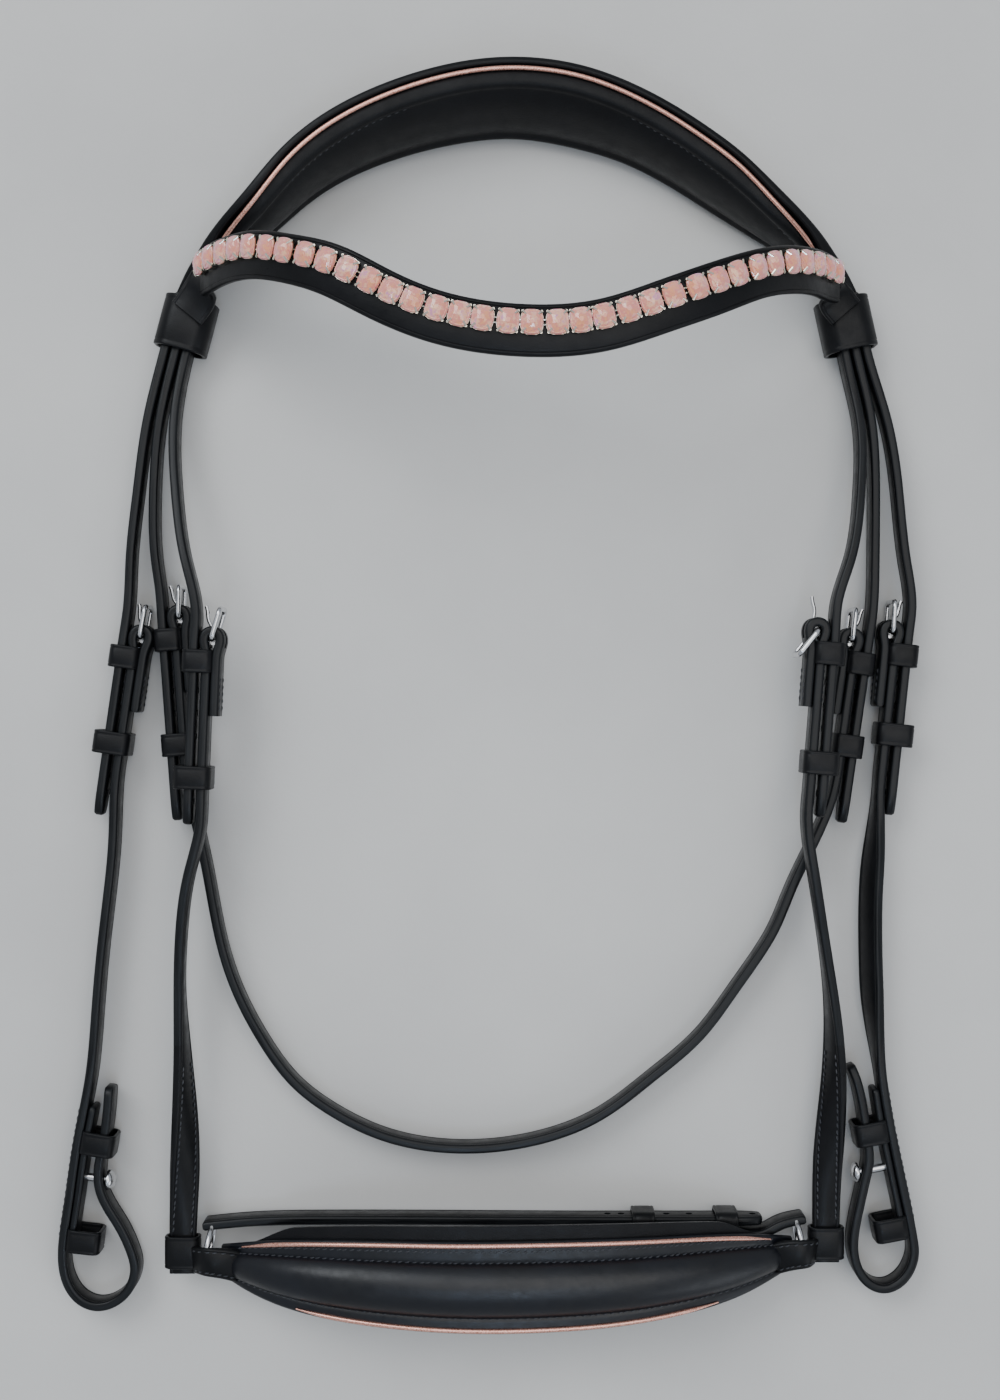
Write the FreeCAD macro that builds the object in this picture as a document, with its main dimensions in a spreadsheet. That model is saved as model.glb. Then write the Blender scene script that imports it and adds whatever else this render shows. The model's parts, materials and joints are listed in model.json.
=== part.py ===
import FreeCAD, Part
import math
import os
from FreeCAD import Placement, Rotation, Vector

# Snaffle bridle laid out flat with its straps standing on edge.
# +X is the horse's left-to-right across the bridle, +Y runs from noseband to crown, +Z is up.
# Everything is drawn about the middle of the head opening, then moved so that the origin is
# the middle of the underside of the bounding box.

doc = FreeCAD.newDocument("SnaffleBridle")

DIMENSIONS = {
    "strap_width": 13.0,
    "strap_thick": 4.2,
    "billet_width": 12.4,
    "keeper_wall": 1.6,
    "keeper_length": 10.0,
    "fold_radius": 5.3,
    "bar_space": 1.7,
    "back_length": 33.0,
    "frame_length": 13.5,
    "frame_wire": 1.1,
    "tongue_wire": 0.85,
    "slot_height": 4.4,
    "floor_gap": 3.0,
    "upper_level": 22.0,
    "hole_radius": 1.4,
    "piping_radius": 1.5,
    "stone_radius": 4.6,
    "stone_height": 3.2,
    "ring_radius": 9.0,
    "ring_wire": 1.25,
    "stud_radius": 4.0,
    "fit_gap": 0.3,
}

sheet = doc.addObject("Spreadsheet::Sheet", "Dimensions")
for row, (alias, value) in enumerate(DIMENSIONS.items(), start=1):
    sheet.set("A%d" % row, alias)
    sheet.set("B%d" % row, str(value))
    sheet.setAlias("B%d" % row, alias)
doc.recompute()


def size(alias):
    """A driving dimension read from the sheet."""
    return float(sheet.get(alias))


WIDTH = size("strap_width")
THICK = size("strap_thick")
BILLET = size("billet_width")
WALL = size("keeper_wall")
GAP = size("fit_gap")
LOW = size("floor_gap")
HIGH = size("upper_level")

pieces = []


# ---------------------------------------------------------------- general helpers

def new_body(name):
    """An empty body, listed for export under its name."""
    body = doc.addObject("PartDesign::Body", name)
    body.Label = name
    pieces.append(body)
    return body


def new_sketch(body, name, place=None):
    """A sketch on the body's own XY plane, moved by place."""
    sketch = body.newObject("Sketcher::SketchObject", name)
    plane = next(f for f in body.Origin.OriginFeatures if f.Role == "XY_Plane")
    sketch.AttachmentSupport = [(plane, "")]
    sketch.MapMode = "FlatFace"
    if place is not None:
        sketch.AttachmentOffset = place
    return sketch


def at_height(height):
    """A horizontal sketch plane at this height."""
    return Placement(Vector(0, 0, height), Rotation())


def facing(origin, x_dir, y_dir):
    """A sketch plane through origin whose own axes are x_dir and y_dir."""
    x_dir = Vector(x_dir).normalize()
    normal = x_dir.cross(Vector(y_dir)).normalize()
    y_dir = normal.cross(x_dir)
    matrix = FreeCAD.Matrix(
        x_dir.x, y_dir.x, normal.x, origin.x,
        x_dir.y, y_dir.y, normal.y, origin.y,
        x_dir.z, y_dir.z, normal.z, origin.z,
        0, 0, 0, 1,
    )
    return Placement(matrix)


def polygon(sketch, points):
    """A closed run of straight lines."""
    corners = [Vector(p[0], p[1], 0) for p in points]
    for start, end in zip(corners, corners[1:] + corners[:1]):
        sketch.addGeometry(Part.LineSegment(start, end), False)


def circle(sketch, x, y, radius):
    """A circle in a sketch."""
    sketch.addGeometry(Part.Circle(Vector(x, y, 0), Vector(0, 0, 1), radius), False)


def spline(points, start=None, finish=None):
    """A smooth curve through points, leaving along start and arriving along finish."""
    places = [Vector(*p) for p in points]
    curve = Part.BSplineCurve()
    if start is None and finish is None:
        curve.interpolate(places)
        return curve
    if start is None:
        start = places[1] - places[0]
    if finish is None:
        finish = places[-1] - places[-2]
    curve.interpolate(
        Points=places,
        InitialTangent=Vector(start).normalize(),
        FinalTangent=Vector(finish).normalize(),
    )
    return curve


def ribbon(sketch, centre, thick, samples):
    """A curved strip of even thickness along a plan curve."""
    first, last = centre.FirstParameter, centre.LastParameter
    left, right = [], []
    for i in range(samples + 1):
        at = first + (last - first) * i / samples
        point = centre.value(at)
        along = centre.tangent(at)[0]
        across = Vector(-along.y, along.x, 0).normalize() * (thick / 2)
        left.append(point + across)
        right.append(point - across)
    for edge in (left, right):
        curve = Part.BSplineCurve()
        curve.interpolate([Vector(p.x, p.y, 0) for p in edge])
        sketch.addGeometry(curve, False)
    for end in (0, -1):
        first_corner = Vector(left[end].x, left[end].y, 0)
        other_corner = Vector(right[end].x, right[end].y, 0)
        sketch.addGeometry(Part.LineSegment(first_corner, other_corner), False)


def pad(body, sketch, alias):
    """Material raised from the sketch by a driving dimension."""
    feature = body.newObject("PartDesign::Pad", sketch.Name + "Pad")
    feature.Profile = sketch
    feature.setExpression("Length", "Dimensions." + alias)
    sketch.Visibility = False
    body.Tip = feature
    doc.recompute()
    return feature


def block(body, sketch, height):
    """Material raised from the sketch by a height worked out from the driving dimensions."""
    feature = body.newObject("PartDesign::Pad", sketch.Name + "Block")
    feature.Profile = sketch
    feature.Length = height
    sketch.Visibility = False
    body.Tip = feature
    doc.recompute()


def pocket(body, sketch, depth, through=False):
    """Material cut downwards from the sketch; the body has to change."""
    before = body.Shape.Volume
    feature = body.newObject("PartDesign::Pocket", sketch.Name + "Cut")
    feature.Profile = sketch
    if through:
        feature.Type = 1
        feature.Midplane = True
    else:
        feature.Length = depth
    sketch.Visibility = False
    body.Tip = feature
    doc.recompute()
    if abs(body.Shape.Volume - before) < 0.001:
        raise RuntimeError(sketch.Name + " cut nothing")
    return feature


def loft(body, name, stations, outline):
    """A solid through outlines set at stations of (point, across, out)."""
    sketches = []
    for i, (point, across, out) in enumerate(stations):
        sketch = new_sketch(body, "%s_%02d" % (name, i), facing(point, across, out))
        polygon(sketch, outline(i))
        sketch.Visibility = False
        sketches.append(sketch)
    doc.recompute()
    feature = body.newObject("PartDesign::AdditiveLoft", name)
    feature.Profile = sketches[0]
    feature.Sections = sketches[1:]
    feature.Ruled = False
    body.Tip = feature
    doc.recompute()
    return feature


def pipe(body, name, path, plane, radius, closed=False):
    """A round wire along path, a list of curves drawn in a sketch plane."""
    spine = new_sketch(body, name + "Spine", plane)
    for curve in path:
        spine.addGeometry(curve, False)
    start = plane.multVec(path[0].value(path[0].FirstParameter))
    along = plane.Rotation.multVec(path[0].tangent(path[0].FirstParameter)[0])
    side = along.cross(Vector(0.13, 0.21, 0.97))
    end = new_sketch(body, name + "End", facing(start, side, along.cross(side)))
    circle(end, 0, 0, radius)
    doc.recompute()
    feature = body.newObject("PartDesign::AdditivePipe", name)
    feature.Profile = end
    feature.Spine = (spine, ["Edge%d" % (i + 1) for i in range(len(path))])
    spine.Visibility = False
    end.Visibility = False
    body.Tip = feature
    doc.recompute()
    return feature


# ---------------------------------------------------------------- buckle ends

class BuckleEnd:
    """Where a strap is folded round its buckle bar.

    u runs from the bar down the strap, v from the fold towards the billet beside it.
    """

    def __init__(self, name, bar, angle, side, level, runner_at, runner_reach, frame_turn, tongue_turn):
        self.name = name
        self.bar = bar
        self.angle = math.radians(angle)
        self.side = side
        self.level = level
        self.runner_at = runner_at
        self.runner_reach = runner_reach
        self.frame_turn = frame_turn
        self.tongue_turn = tongue_turn

    def spot(self, u, v):
        """Plan position of a point given as distances down and across the strap."""
        down = (math.sin(self.angle), -math.cos(self.angle))
        across = (self.side * math.cos(self.angle), self.side * math.sin(self.angle))
        return (
            self.bar[0] + u * down[0] + v * across[0],
            self.bar[1] + u * down[1] + v * across[1],
        )

    def down(self):
        """Direction down the strap."""
        return Vector(math.sin(self.angle), -math.cos(self.angle), 0)

    def box(self, u0, u1, v0, v1):
        return [self.spot(u0, v0), self.spot(u1, v0), self.spot(u1, v1), self.spot(u0, v1)]


BUCKLES = {
    "cheek_left": BuckleEnd("cheek_left", (-157.6, 27.6), -8.2, -1, LOW, 47.7, 12.5, 2, -6),
    "throat_left": BuckleEnd("throat_left", (-140.8, 36.4), 4.2, -1, LOW, 55.8, 10.2, 6, -6),
    "nose_left": BuckleEnd("nose_left", (-123.5, 26.1), -2.3, -1, HIGH, 59.7, 12.5, 14, -6),
    "nose_right": BuckleEnd("nose_right", (136.3, 30.0), -4.5, 1, HIGH, 56.7, 12.0, 146, 20),
    "throat_right": BuckleEnd("throat_right", (154.2, 26.3), -8.2, 1, LOW, 46.2, 10.2, 2, -6),
    "cheek_right": BuckleEnd("cheek_right", (171.9, 29.8), -6.0, 1, LOW, 44.7, 12.5, 2, -6),
    "chin": BuckleEnd("chin", (53.4, -236.4), 90.0, 1, LOW, 46.0, 10.2, 2, -6),
}


def fold_outline(end, back):
    """Round fold about the bar, running into the stitched-down back layer."""
    radius = size("fold_radius")
    points = []
    for i in range(13):
        turn = math.pi * i / 12
        points.append(end.spot(-radius * math.sin(turn), radius * math.cos(turn)))
    points.append(end.spot(10.0, -THICK))
    points.append(end.spot(back - 5.0, -THICK))
    points.append(end.spot(back, -1.2))
    points.append(end.spot(back, 0.0))
    points.append(end.spot(back, THICK))
    points.append(end.spot(10.0, THICK))
    return points


def folded_end(body, end):
    """The fold of a buckle end, with its back layer."""
    fold = new_sketch(body, end.name + "Fold", at_height(end.level))
    polygon(fold, fold_outline(end, size("back_length")))
    pad(body, fold, "strap_width")


def fold_cuts(body, end):
    """The hole for the bar, the slot for the tongue and the slit that holds the fixed keeper."""
    top = end.level + WIDTH
    hole = new_sketch(body, end.name + "BarHole", at_height(top))
    inner = size("bar_space")
    points = []
    for i in range(13):
        turn = math.pi * i / 12
        points.append(end.spot(-inner * math.sin(turn), inner * math.cos(turn)))
    points.append(end.spot(3.6, -0.2))
    points.append(end.spot(3.6, 0.2))
    polygon(hole, points)
    pocket(body, hole, WIDTH)
    slot_top = end.level + (WIDTH + size("slot_height")) / 2
    slot = new_sketch(body, end.name + "TongueSlot", at_height(slot_top))
    polygon(slot, end.box(-9.0, 3.6, -9.0, 5.2))
    pocket(body, slot, size("slot_height"))
    slit = new_sketch(body, end.name + "KeeperSlit", at_height(top))
    polygon(slit, end.box(4.6, 4.6 + size("keeper_length"), -WALL / 2, WALL / 2))
    pocket(body, slit, WIDTH)


def box_keeper(name, end, u0, v0, v1, low, high):
    """A leather loop of rectangular section; v0, v1, low and high are its inner faces."""
    body = new_body(name)
    length = size("keeper_length")
    outer = new_sketch(body, name + "Outer", at_height(low - WALL))
    polygon(outer, end.box(u0, u0 + length, v0 - WALL, v1 + WALL))
    block(body, outer, high - low + 2 * WALL)
    inside = new_sketch(body, name + "Inside", at_height(high))
    polygon(inside, end.box(u0 - 1, u0 + length + 1, v0, v1))
    pocket(body, inside, high - low)
    round_off(body, end, 1.0)
    return body


def round_off(body, end, radius):
    """The outer corners of a leather loop, eased."""
    plain = body.Tip
    corners = edges_along(body.Shape, end)
    fillet = body.newObject("PartDesign::Fillet", body.Name + "Round")
    fillet.Base = (plain, corners)
    fillet.Radius = radius
    body.Tip = fillet
    doc.recompute()


def edges_along(shape, end):
    """Names of the four outer edges that run down the strap."""
    down = Vector(math.sin(end.angle), -math.cos(end.angle), 0)
    box = shape.BoundBox
    names = []
    for i, edge in enumerate(shape.Edges, start=1):
        a, b = edge.Vertexes[0].Point, edge.Vertexes[-1].Point
        line = b - a
        level = abs(a.z - box.ZMin) < 0.01 or abs(a.z - box.ZMax) < 0.01
        if level and line.Length > 1 and abs(abs(line.normalize().dot(down)) - 1) < 0.001:
            names.append("Edge%d" % i)
    return names


def fixed_keeper(end, reach=11.0):
    """The keeper stitched into the fold, round the strap and its billet."""
    return box_keeper(
        "keeper_%s" % end.name, end, 4.6, WALL / 2, reach, end.level, end.level + WIDTH)


def runner_keeper(end):
    """The loose keeper that slides along the strap and its billet."""
    start = end.runner_at - size("keeper_length") / 2
    return box_keeper(
        "runner_%s" % end.name, end, start, -GAP, end.runner_reach,
        end.level - GAP, end.level + WIDTH + GAP)


def bar_placement(end, turn):
    """Bar axis as local Z and the buckle's reach as local X, turned from straight up the strap."""
    heading = math.degrees(end.angle) + 90 + end.side * turn
    return Placement(
        Vector(end.bar[0], end.bar[1], end.level + WIDTH / 2),
        Rotation(Vector(0, 0, 1), heading))


def buckle_frame(end):
    """Steel frame: a rounded rectangle of round wire with one side as the bar."""
    body = new_body("frame_%s" % end.name)
    reach = size("frame_length")
    half = WIDTH / 2 + 0.4 + size("frame_wire")
    corner = 2.4
    upright = facing(Vector(0, 0, 0), Vector(1, 0, 0), Vector(0, 0, 1))
    lines = [
        ((0, -half + corner), (0, half - corner)),
        ((corner, half), (reach - corner, half)),
        ((reach, half - corner), (reach, -half + corner)),
        ((reach - corner, -half), (corner, -half)),
    ]
    corners = [
        ((corner, half - corner), 90, 180),
        ((reach - corner, half - corner), 0, 90),
        ((reach - corner, corner - half), 270, 360),
        ((corner, corner - half), 180, 270),
    ]
    path = []
    for (start, stop), (centre, low, high) in zip(lines, corners):
        path.append(Part.LineSegment(Vector(*start, 0), Vector(*stop, 0)))
        round_corner = Part.Circle(Vector(*centre, 0), Vector(0, 0, 1), corner)
        path.append(Part.ArcOfCircle(round_corner, math.radians(low), math.radians(high)))
    pipe(body, body.Name + "Wire", path, upright, size("frame_wire"))
    body.Placement = bar_placement(end, end.frame_turn)
    return body


def buckle_tongue(end):
    """Steel tongue: an eye round the bar and a gently waved prong."""
    body = new_body("tongue_%s" % end.name)
    tall = 2.4
    eye = new_sketch(body, body.Name + "Eye", at_height(-tall / 2))
    circle(eye, 0, 0, 2.5)
    circle(eye, 0, 0, size("frame_wire") + GAP)
    block(body, eye, tall)
    bend = -end.side
    prong = spline([
        (2.0, 0, 0), (5.0, 0.2 * bend, 0), (8.5, 1.6 * bend, 0),
        (11.5, 1.8 * bend, 0), (14.6, 2.2 * bend, 0),
    ])
    pipe(body, body.Name + "Prong", [prong], at_height(0), size("tongue_wire"))
    body.Placement = bar_placement(end, end.tongue_turn)
    return body


# ---------------------------------------------------------------- straps on edge

def straight(body, tag, end, u0, u1, v0, v1, low, alias):
    """A straight length of strap beside a buckle."""
    sketch = new_sketch(body, tag, at_height(low))
    polygon(sketch, end.box(u0, u1, v0, v1))
    return pad(body, sketch, alias)


def curved(body, tag, points, low, alias, samples=60, start=None, finish=None):
    """A curved length of strap on edge."""
    sketch = new_sketch(body, tag, at_height(low))
    ribbon(sketch, spline([(p[0], p[1], 0) for p in points], start, finish), THICK, samples)
    return pad(body, sketch, alias)


def punch(body, tag, end, v, low, places):
    """A row of round holes through the flat of a strap beside a buckle."""
    x, y = end.spot(0, v)
    down = Vector(math.sin(end.angle), -math.cos(end.angle), 0)
    sketch = new_sketch(body, tag, facing(Vector(x, y, low), down, Vector(0, 0, 1)))
    for place in places:
        circle(sketch, place, BILLET / 2, size("hole_radius"))
    pocket(body, sketch, THICK, through=True)


BILLET_V = 7.7
BILLET_TIP = 80.0
THROAT_LEFT_TIP = 89.0
BILLET_TOP = -12.0


def billet(name, end, upper, holes):
    """A punched strap end hanging beside its buckle, joined to the crown above."""
    body = new_body(name)
    low = end.level + (WIDTH - BILLET) / 2
    half = THICK / 2
    tip = THROAT_LEFT_TIP if end.name == "throat_left" else BILLET_TIP
    straight(body, name + "Straight", end, BILLET_TOP, tip, BILLET_V - half, BILLET_V + half,
             low, "billet_width")
    fall = STRAP_FALL["left" if end.side < 0 else "right"]
    if end.level == LOW:
        path = upper + [end.spot(BILLET_TOP, BILLET_V)]
        curved(body, name + "Upper", path, low, "billet_width", start=fall, finish=end.down())
    else:
        # the noseband billet climbs over the throatlash on its way down
        rise = (LOW, LOW, LOW, LOW + 3.5, LOW + 10.5, LOW + 17.0, HIGH)
        path = upper + [end.spot(BILLET_TOP, BILLET_V)]
        heights = [z + (WIDTH - BILLET) / 2 for z in rise]
        stations = upright_stations(path, heights, fall, end.down())
        loft(body, name + "Upper", stations, lambda i: rectangle(half, 0.0, BILLET))
    punch(body, name + "Holes", end, BILLET_V, low, holes)
    return body


def rectangle(half, low, high):
    """Section of an upright strap, with its foot at low."""
    return [(-half, low), (half, low), (half, high), (-half, high)]


def upright_stations(path, heights, start, finish):
    """Stations square to a plan path, standing at the given heights."""
    curve = spline([(p[0], p[1], 0) for p in path], start, finish)
    stations = []
    for (x, y), height in zip(path, heights):
        along = curve.tangent(curve.parameter(Vector(x, y, 0)))[0]
        across = Vector(-along.y, along.x, 0)
        stations.append((Vector(x, y, height), across, Vector(0, 0, 1)))
    return stations


# ---------------------------------------------------------------- crown

# lower and upper edge of the padded inner face, in order from left to right
CROWN = [
    ((-134.9, 177.2, 3.0), (-134.9, 177.2, 16.0)),
    ((-120.0, 191.0, 1.5), (-121.5, 192.2, 28.5)),
    ((-100.2, 208.0, 1.5), (-102.5, 210.0, 39.0)),
    ((-82.4, 222.2, 2.5), (-87.0, 227.0, 42.0)),
    ((-52.6, 236.9, 3.5), (-59.5, 247.5, 43.0)),
    ((-17.4, 245.8, 4.3), (-20.0, 261.8, 43.5)),
    ((5.8, 247.6, 4.5), (5.8, 264.8, 43.5)),
    ((32.5, 243.6, 4.3), (37.0, 260.3, 43.5)),
    ((52.6, 238.0, 3.8), (60.0, 250.5, 43.0)),
    ((75.7, 226.7, 3.2), (83.0, 236.5, 42.0)),
    ((93.5, 216.0, 2.5), (99.5, 224.0, 41.0)),
    ((112.0, 205.5, 1.5), (115.0, 209.5, 39.0)),
    ((133.0, 191.5, 1.5), (134.5, 193.0, 28.5)),
    ((149.6, 177.4, 3.0), (149.6, 177.4, 16.0)),
]
CROWN_PAD = [0, 4.0, 6.0, 7.0, 7.0, 7.0, 7.0, 7.0, 7.0, 7.0, 7.0, 6.0, 4.0, 0]
CROWN_SKIN = [14.2, 5.0, 4.0, 3.5, 3.5, 3.5, 3.5, 3.5, 3.5, 3.5, 3.5, 4.0, 5.0, 14.2]


# direction in which the straps below the crown leave its two ends
STRAP_FALL = {"left": Vector(-0.255, -0.967, 0), "right": Vector(0.216, -0.976, 0)}


def crown_stations():
    """Section planes of the crown, with the local Y axis along the width of the strap."""
    curve = spline([low for low, high in CROWN])
    stations = []
    for low, high in CROWN:
        along = curve.tangent(curve.parameter(Vector(*low)))[0]
        along = Vector(along.x, along.y, 0).normalize()
        if low is CROWN[0][0]:
            along = STRAP_FALL["left"] * -1
        if low is CROWN[-1][0]:
            along = STRAP_FALL["right"]
        up = Vector(*high) - Vector(*low)
        outward = up.cross(along)
        stations.append((Vector(*low), outward.normalize(), up.normalize()))
    return stations


def crown():
    """Outer leather, puffed padding and piping of the headpiece."""
    stations = crown_stations()
    widths = [(Vector(*high) - Vector(*low)).Length for low, high in CROWN]
    ends = (0, len(CROWN) - 1)

    def skin(i):
        inner = CROWN_PAD[i] + 0.3
        if i in ends:
            inner = -CROWN_SKIN[i] / 2
        return [(inner, 0), (inner + CROWN_SKIN[i], 0),
                (inner + CROWN_SKIN[i], widths[i]), (inner, widths[i])]

    body = new_body("crown_leather")
    loft(body, "crown_leatherSkin", stations, skin)

    padded = list(range(1, len(CROWN) - 1))

    def cushion(k):
        i = padded[k]
        thick = CROWN_PAD[i]
        width = widths[i] - 3.4
        return [(thick, 0.6), (thick, width), (thick * 0.35, width), (0, width - thick * 0.4),
                (0, 0.6 + thick * 0.4), (thick * 0.35, 0.6)]

    loft(new_body("crown_paddingBlank"), "crown_paddingCushion", [stations[i] for i in padded], cushion)
    blank, leather = pieces.pop(), body
    padding = doc.addObject("Part::Cut", "crown_padding")
    padding.Base = blank
    padding.Tool = leather
    padding.Label = "crown_padding"
    doc.recompute()
    pieces.append(padding)

    radius = size("piping_radius")
    points = []
    for i in padded[1:-1]:
        point, outward, up = stations[i]
        points.append(point + up * (widths[i] - 3.3 + radius) + outward * (CROWN_PAD[i] - radius - 0.1))
    body = new_body("crown_piping")
    stations_round = []
    curve = spline([tuple(p) for p in points])
    for p in points:
        along = curve.tangent(curve.parameter(p))[0]
        side = along.cross(Vector(0, 0, 1)).normalize()
        stations_round.append((p, side, along.cross(side)))
    loft(body, "crown_pipingCord", stations_round, lambda i: many_sided(radius, 10))


def many_sided(radius, count):
    """Corners of a regular outline that stands for a round cord."""
    return [
        (radius * math.cos(2 * math.pi * k / count), radius * math.sin(2 * math.pi * k / count))
        for k in range(count)
    ]


# ---------------------------------------------------------------- browband

# middle line of the browband from left to right, and the tilt of its face out of upright
BROW = [
    (-129.6, 183.4, 28.7), (-127.5, 184.0, 33.0), (-117.0, 185.0, 49.0), (-103.0, 184.0, 64.5),
    (-87.0, 179.5, 77.0), (-70.0, 173.5, 85.5), (-48.0, 162.0, 91.0), (-24.0, 152.4, 92.5),
    (9.0, 147.3, 93.0), (41.0, 149.6, 92.0), (66.0, 157.5, 90.5), (88.0, 166.0, 84.5),
    (107.0, 174.0, 74.0), (122.0, 178.5, 61.5), (134.5, 180.5, 47.0), (143.5, 181.0, 32.5),
    (146.6, 180.9, 28.7),
]
BROW_WIDTH = [19] + [20] * 4 + [21] * 7 + [20] * 4 + [19]
BROW_THICK = 3.6


def brow_frame(curve, at):
    """Point, across-the-band and outward directions at a parameter of the middle line."""
    point = curve.value(at)
    along = curve.tangent(at)[0]
    out = along.cross(Vector(0, 1, 0)).normalize()
    wide = out.cross(along).normalize()
    return point, along, wide, out


def browband():
    """The leather band with its row of cups and stones."""
    curve = spline(BROW)
    stations = []
    for p in BROW:
        point, along, wide, out = brow_frame(curve, curve.parameter(Vector(*p)))
        stations.append((point, wide, out))

    def section(i):
        half = BROW_WIDTH[i] / 2
        return [(-half, -BROW_THICK), (half, -BROW_THICK), (half, 0), (-half, 0)]

    body = new_body("browband_leather")
    loft(body, "browband_leatherBand", stations, section)

    count = 34
    total = curve.length()
    inset = 6.0
    pitch = (total - 2 * inset) / (count - 1)
    cups, stones = [], []
    for i in range(count):
        at = curve.parameterAtDistance(inset + pitch * i, curve.FirstParameter)
        point, along, wide, out = brow_frame(curve, at)
        radius = min(size("stone_radius"), pitch / 2 - 0.25)
        foot = point + wide * 2.8 + out * 0.25
        cup = Part.makeCylinder(radius, 1.6, foot, out)
        seat = foot + out * 1.7
        body_of_stone = Part.makeCone(radius - 0.3, radius - 0.1, 1.0, seat, out)
        crown_height = size("stone_height") - 1.0
        dome = Part.makeCone(radius - 0.1, radius * 0.5, crown_height, seat + out * 1.0, out)
        cups.append(cup)
        stones.append(body_of_stone.fuse(dome).removeSplitter())
    set_feature("browband_settings", cups)
    set_feature("browband_stones", stones)


def set_feature(name, solids):
    """Separate equal pieces kept in one file, in the place where the sheet's sizes put them."""
    feature = doc.addObject("Part::Feature", name)
    feature.Shape = Part.makeCompound(solids)
    feature.Label = name
    pieces.append(feature)
    return feature


def join_last_two(name):
    """The last two pieces kept together in one file."""
    pair = [pieces.pop(), pieces.pop()]
    joined = doc.addObject("Part::Compound", name)
    joined.Links = pair
    joined.Label = name
    doc.recompute()
    pieces.append(joined)


BROW_LOOPS = {
    "left": BuckleEnd("left", (-138.3, 165.0), -14.8, -1, LOW, 0, 0, 0, 0),
    "right": BuckleEnd("right", (152.5, 165.0), 12.3, 1, LOW, 0, 0, 0, 0),
}


def browband_loop(side):
    """The leather loop that holds the browband to the crown straps."""
    place = BROW_LOOPS[side]
    body = new_body("browband_loop_" + side)
    outer = new_sketch(body, body.Name + "Outer", at_height(LOW - 2.0))
    polygon(outer, place.box(-11.5, 11.5, -11.0, 11.0))
    block(body, outer, WIDTH + 4.6)
    inside = new_sketch(body, body.Name + "Inside", at_height(LOW + WIDTH + 0.6))
    polygon(inside, place.box(-12.5, 12.5, -9.0, 9.0))
    pocket(body, inside, WIDTH + 0.8)
    round_off(body, place, 1.4)


# ---------------------------------------------------------------- cheekpieces

CHEEK_PATHS = {
    "left": [
        (-169.9, -61.3), (-172.4, -87.6), (-175.4, -113.9), (-177.6, -140.2), (-179.9, -164.3),
        (-184.0, -186.5), (-186.5, -201.0), (-188.9, -217.9), (-191.0, -231.9), (-192.0, -243.5),
        (-190.2, -254.9), (-184.7, -263.0), (-177.0, -266.1), (-169.4, -264.3), (-162.6, -257.9),
        (-160.3, -249.3), (-162.4, -240.9), (-166.2, -232.6), (-171.3, -224.3), (-175.6, -215.0),
        (-176.3, -207.0), (-175.4, -200.5), (-173.4, -190.0), (-172.1, -178.7), (-171.5, -169.7),
    ],
    "right": [
        (166.0, -53.9), (163.8, -82.3), (163.5, -110.8), (164.5, -135.0), (166.8, -158.0),
        (170.5, -183.0), (174.5, -203.0), (178.3, -221.0), (181.2, -236.0), (181.8, -243.0),
        (180.4, -248.8), (175.8, -255.3), (168.9, -258.3), (162.2, -256.2), (157.2, -249.8),
        (155.2, -241.0), (156.0, -231.0), (158.2, -220.5), (160.6, -210.0), (162.0, -202.5),
        (161.6, -195.0), (159.8, -182.0), (158.0, -172.5), (156.0, -165.5), (154.0, -160.5),
    ],
}
# where the upper and lower bit keepers sit on the front layer, with the strap's lean there
BIT_PLACES = {
    "left": {
        "upper": BuckleEnd("upper", (-185.2, -193.5), -9.6, 1, LOW, 0, 0, 0, 0),
        "lower": BuckleEnd("lower", (-191.5, -236.6), -6.4, 1, LOW, 0, 0, 0, 0),
        "stud": BuckleEnd("stud", (-187.7, -209.5), -8.5, 1, LOW, 0, 0, 0, 0),
    },
    "right": {
        "upper": BuckleEnd("upper", (171.6, -188.5), 10.9, -1, LOW, 0, 0, 0, 0),
        "lower": BuckleEnd("lower", (180.3, -230.5), 10.9, -1, LOW, 0, 0, 0, 0),
        "stud": BuckleEnd("stud", (174.9, -205.0), 11.2, -1, LOW, 0, 0, 0, 0),
    },
}
INNER_LAYER = {
    "left": (-179.0, -246.0),
    "right": (-176.0, -240.0),
}


def inner_layer(side):
    """The short layer stitched inside the cheekpiece above the bit."""
    path = CHEEK_PATHS[side]
    curve = spline([(p[0], p[1], 0) for p in path])
    high, low = INNER_LAYER[side]
    inward = 1 if side == "left" else -1
    points = []
    for x, y in path[:11]:
        if low <= y <= high:
            along = curve.tangent(curve.parameter(Vector(x, y, 0)))[0]
            across = Vector(-along.y, along.x, 0).normalize() * (THICK - 1.0) * inward
            points.append((x + across.x, y + across.y))
    return points


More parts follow.
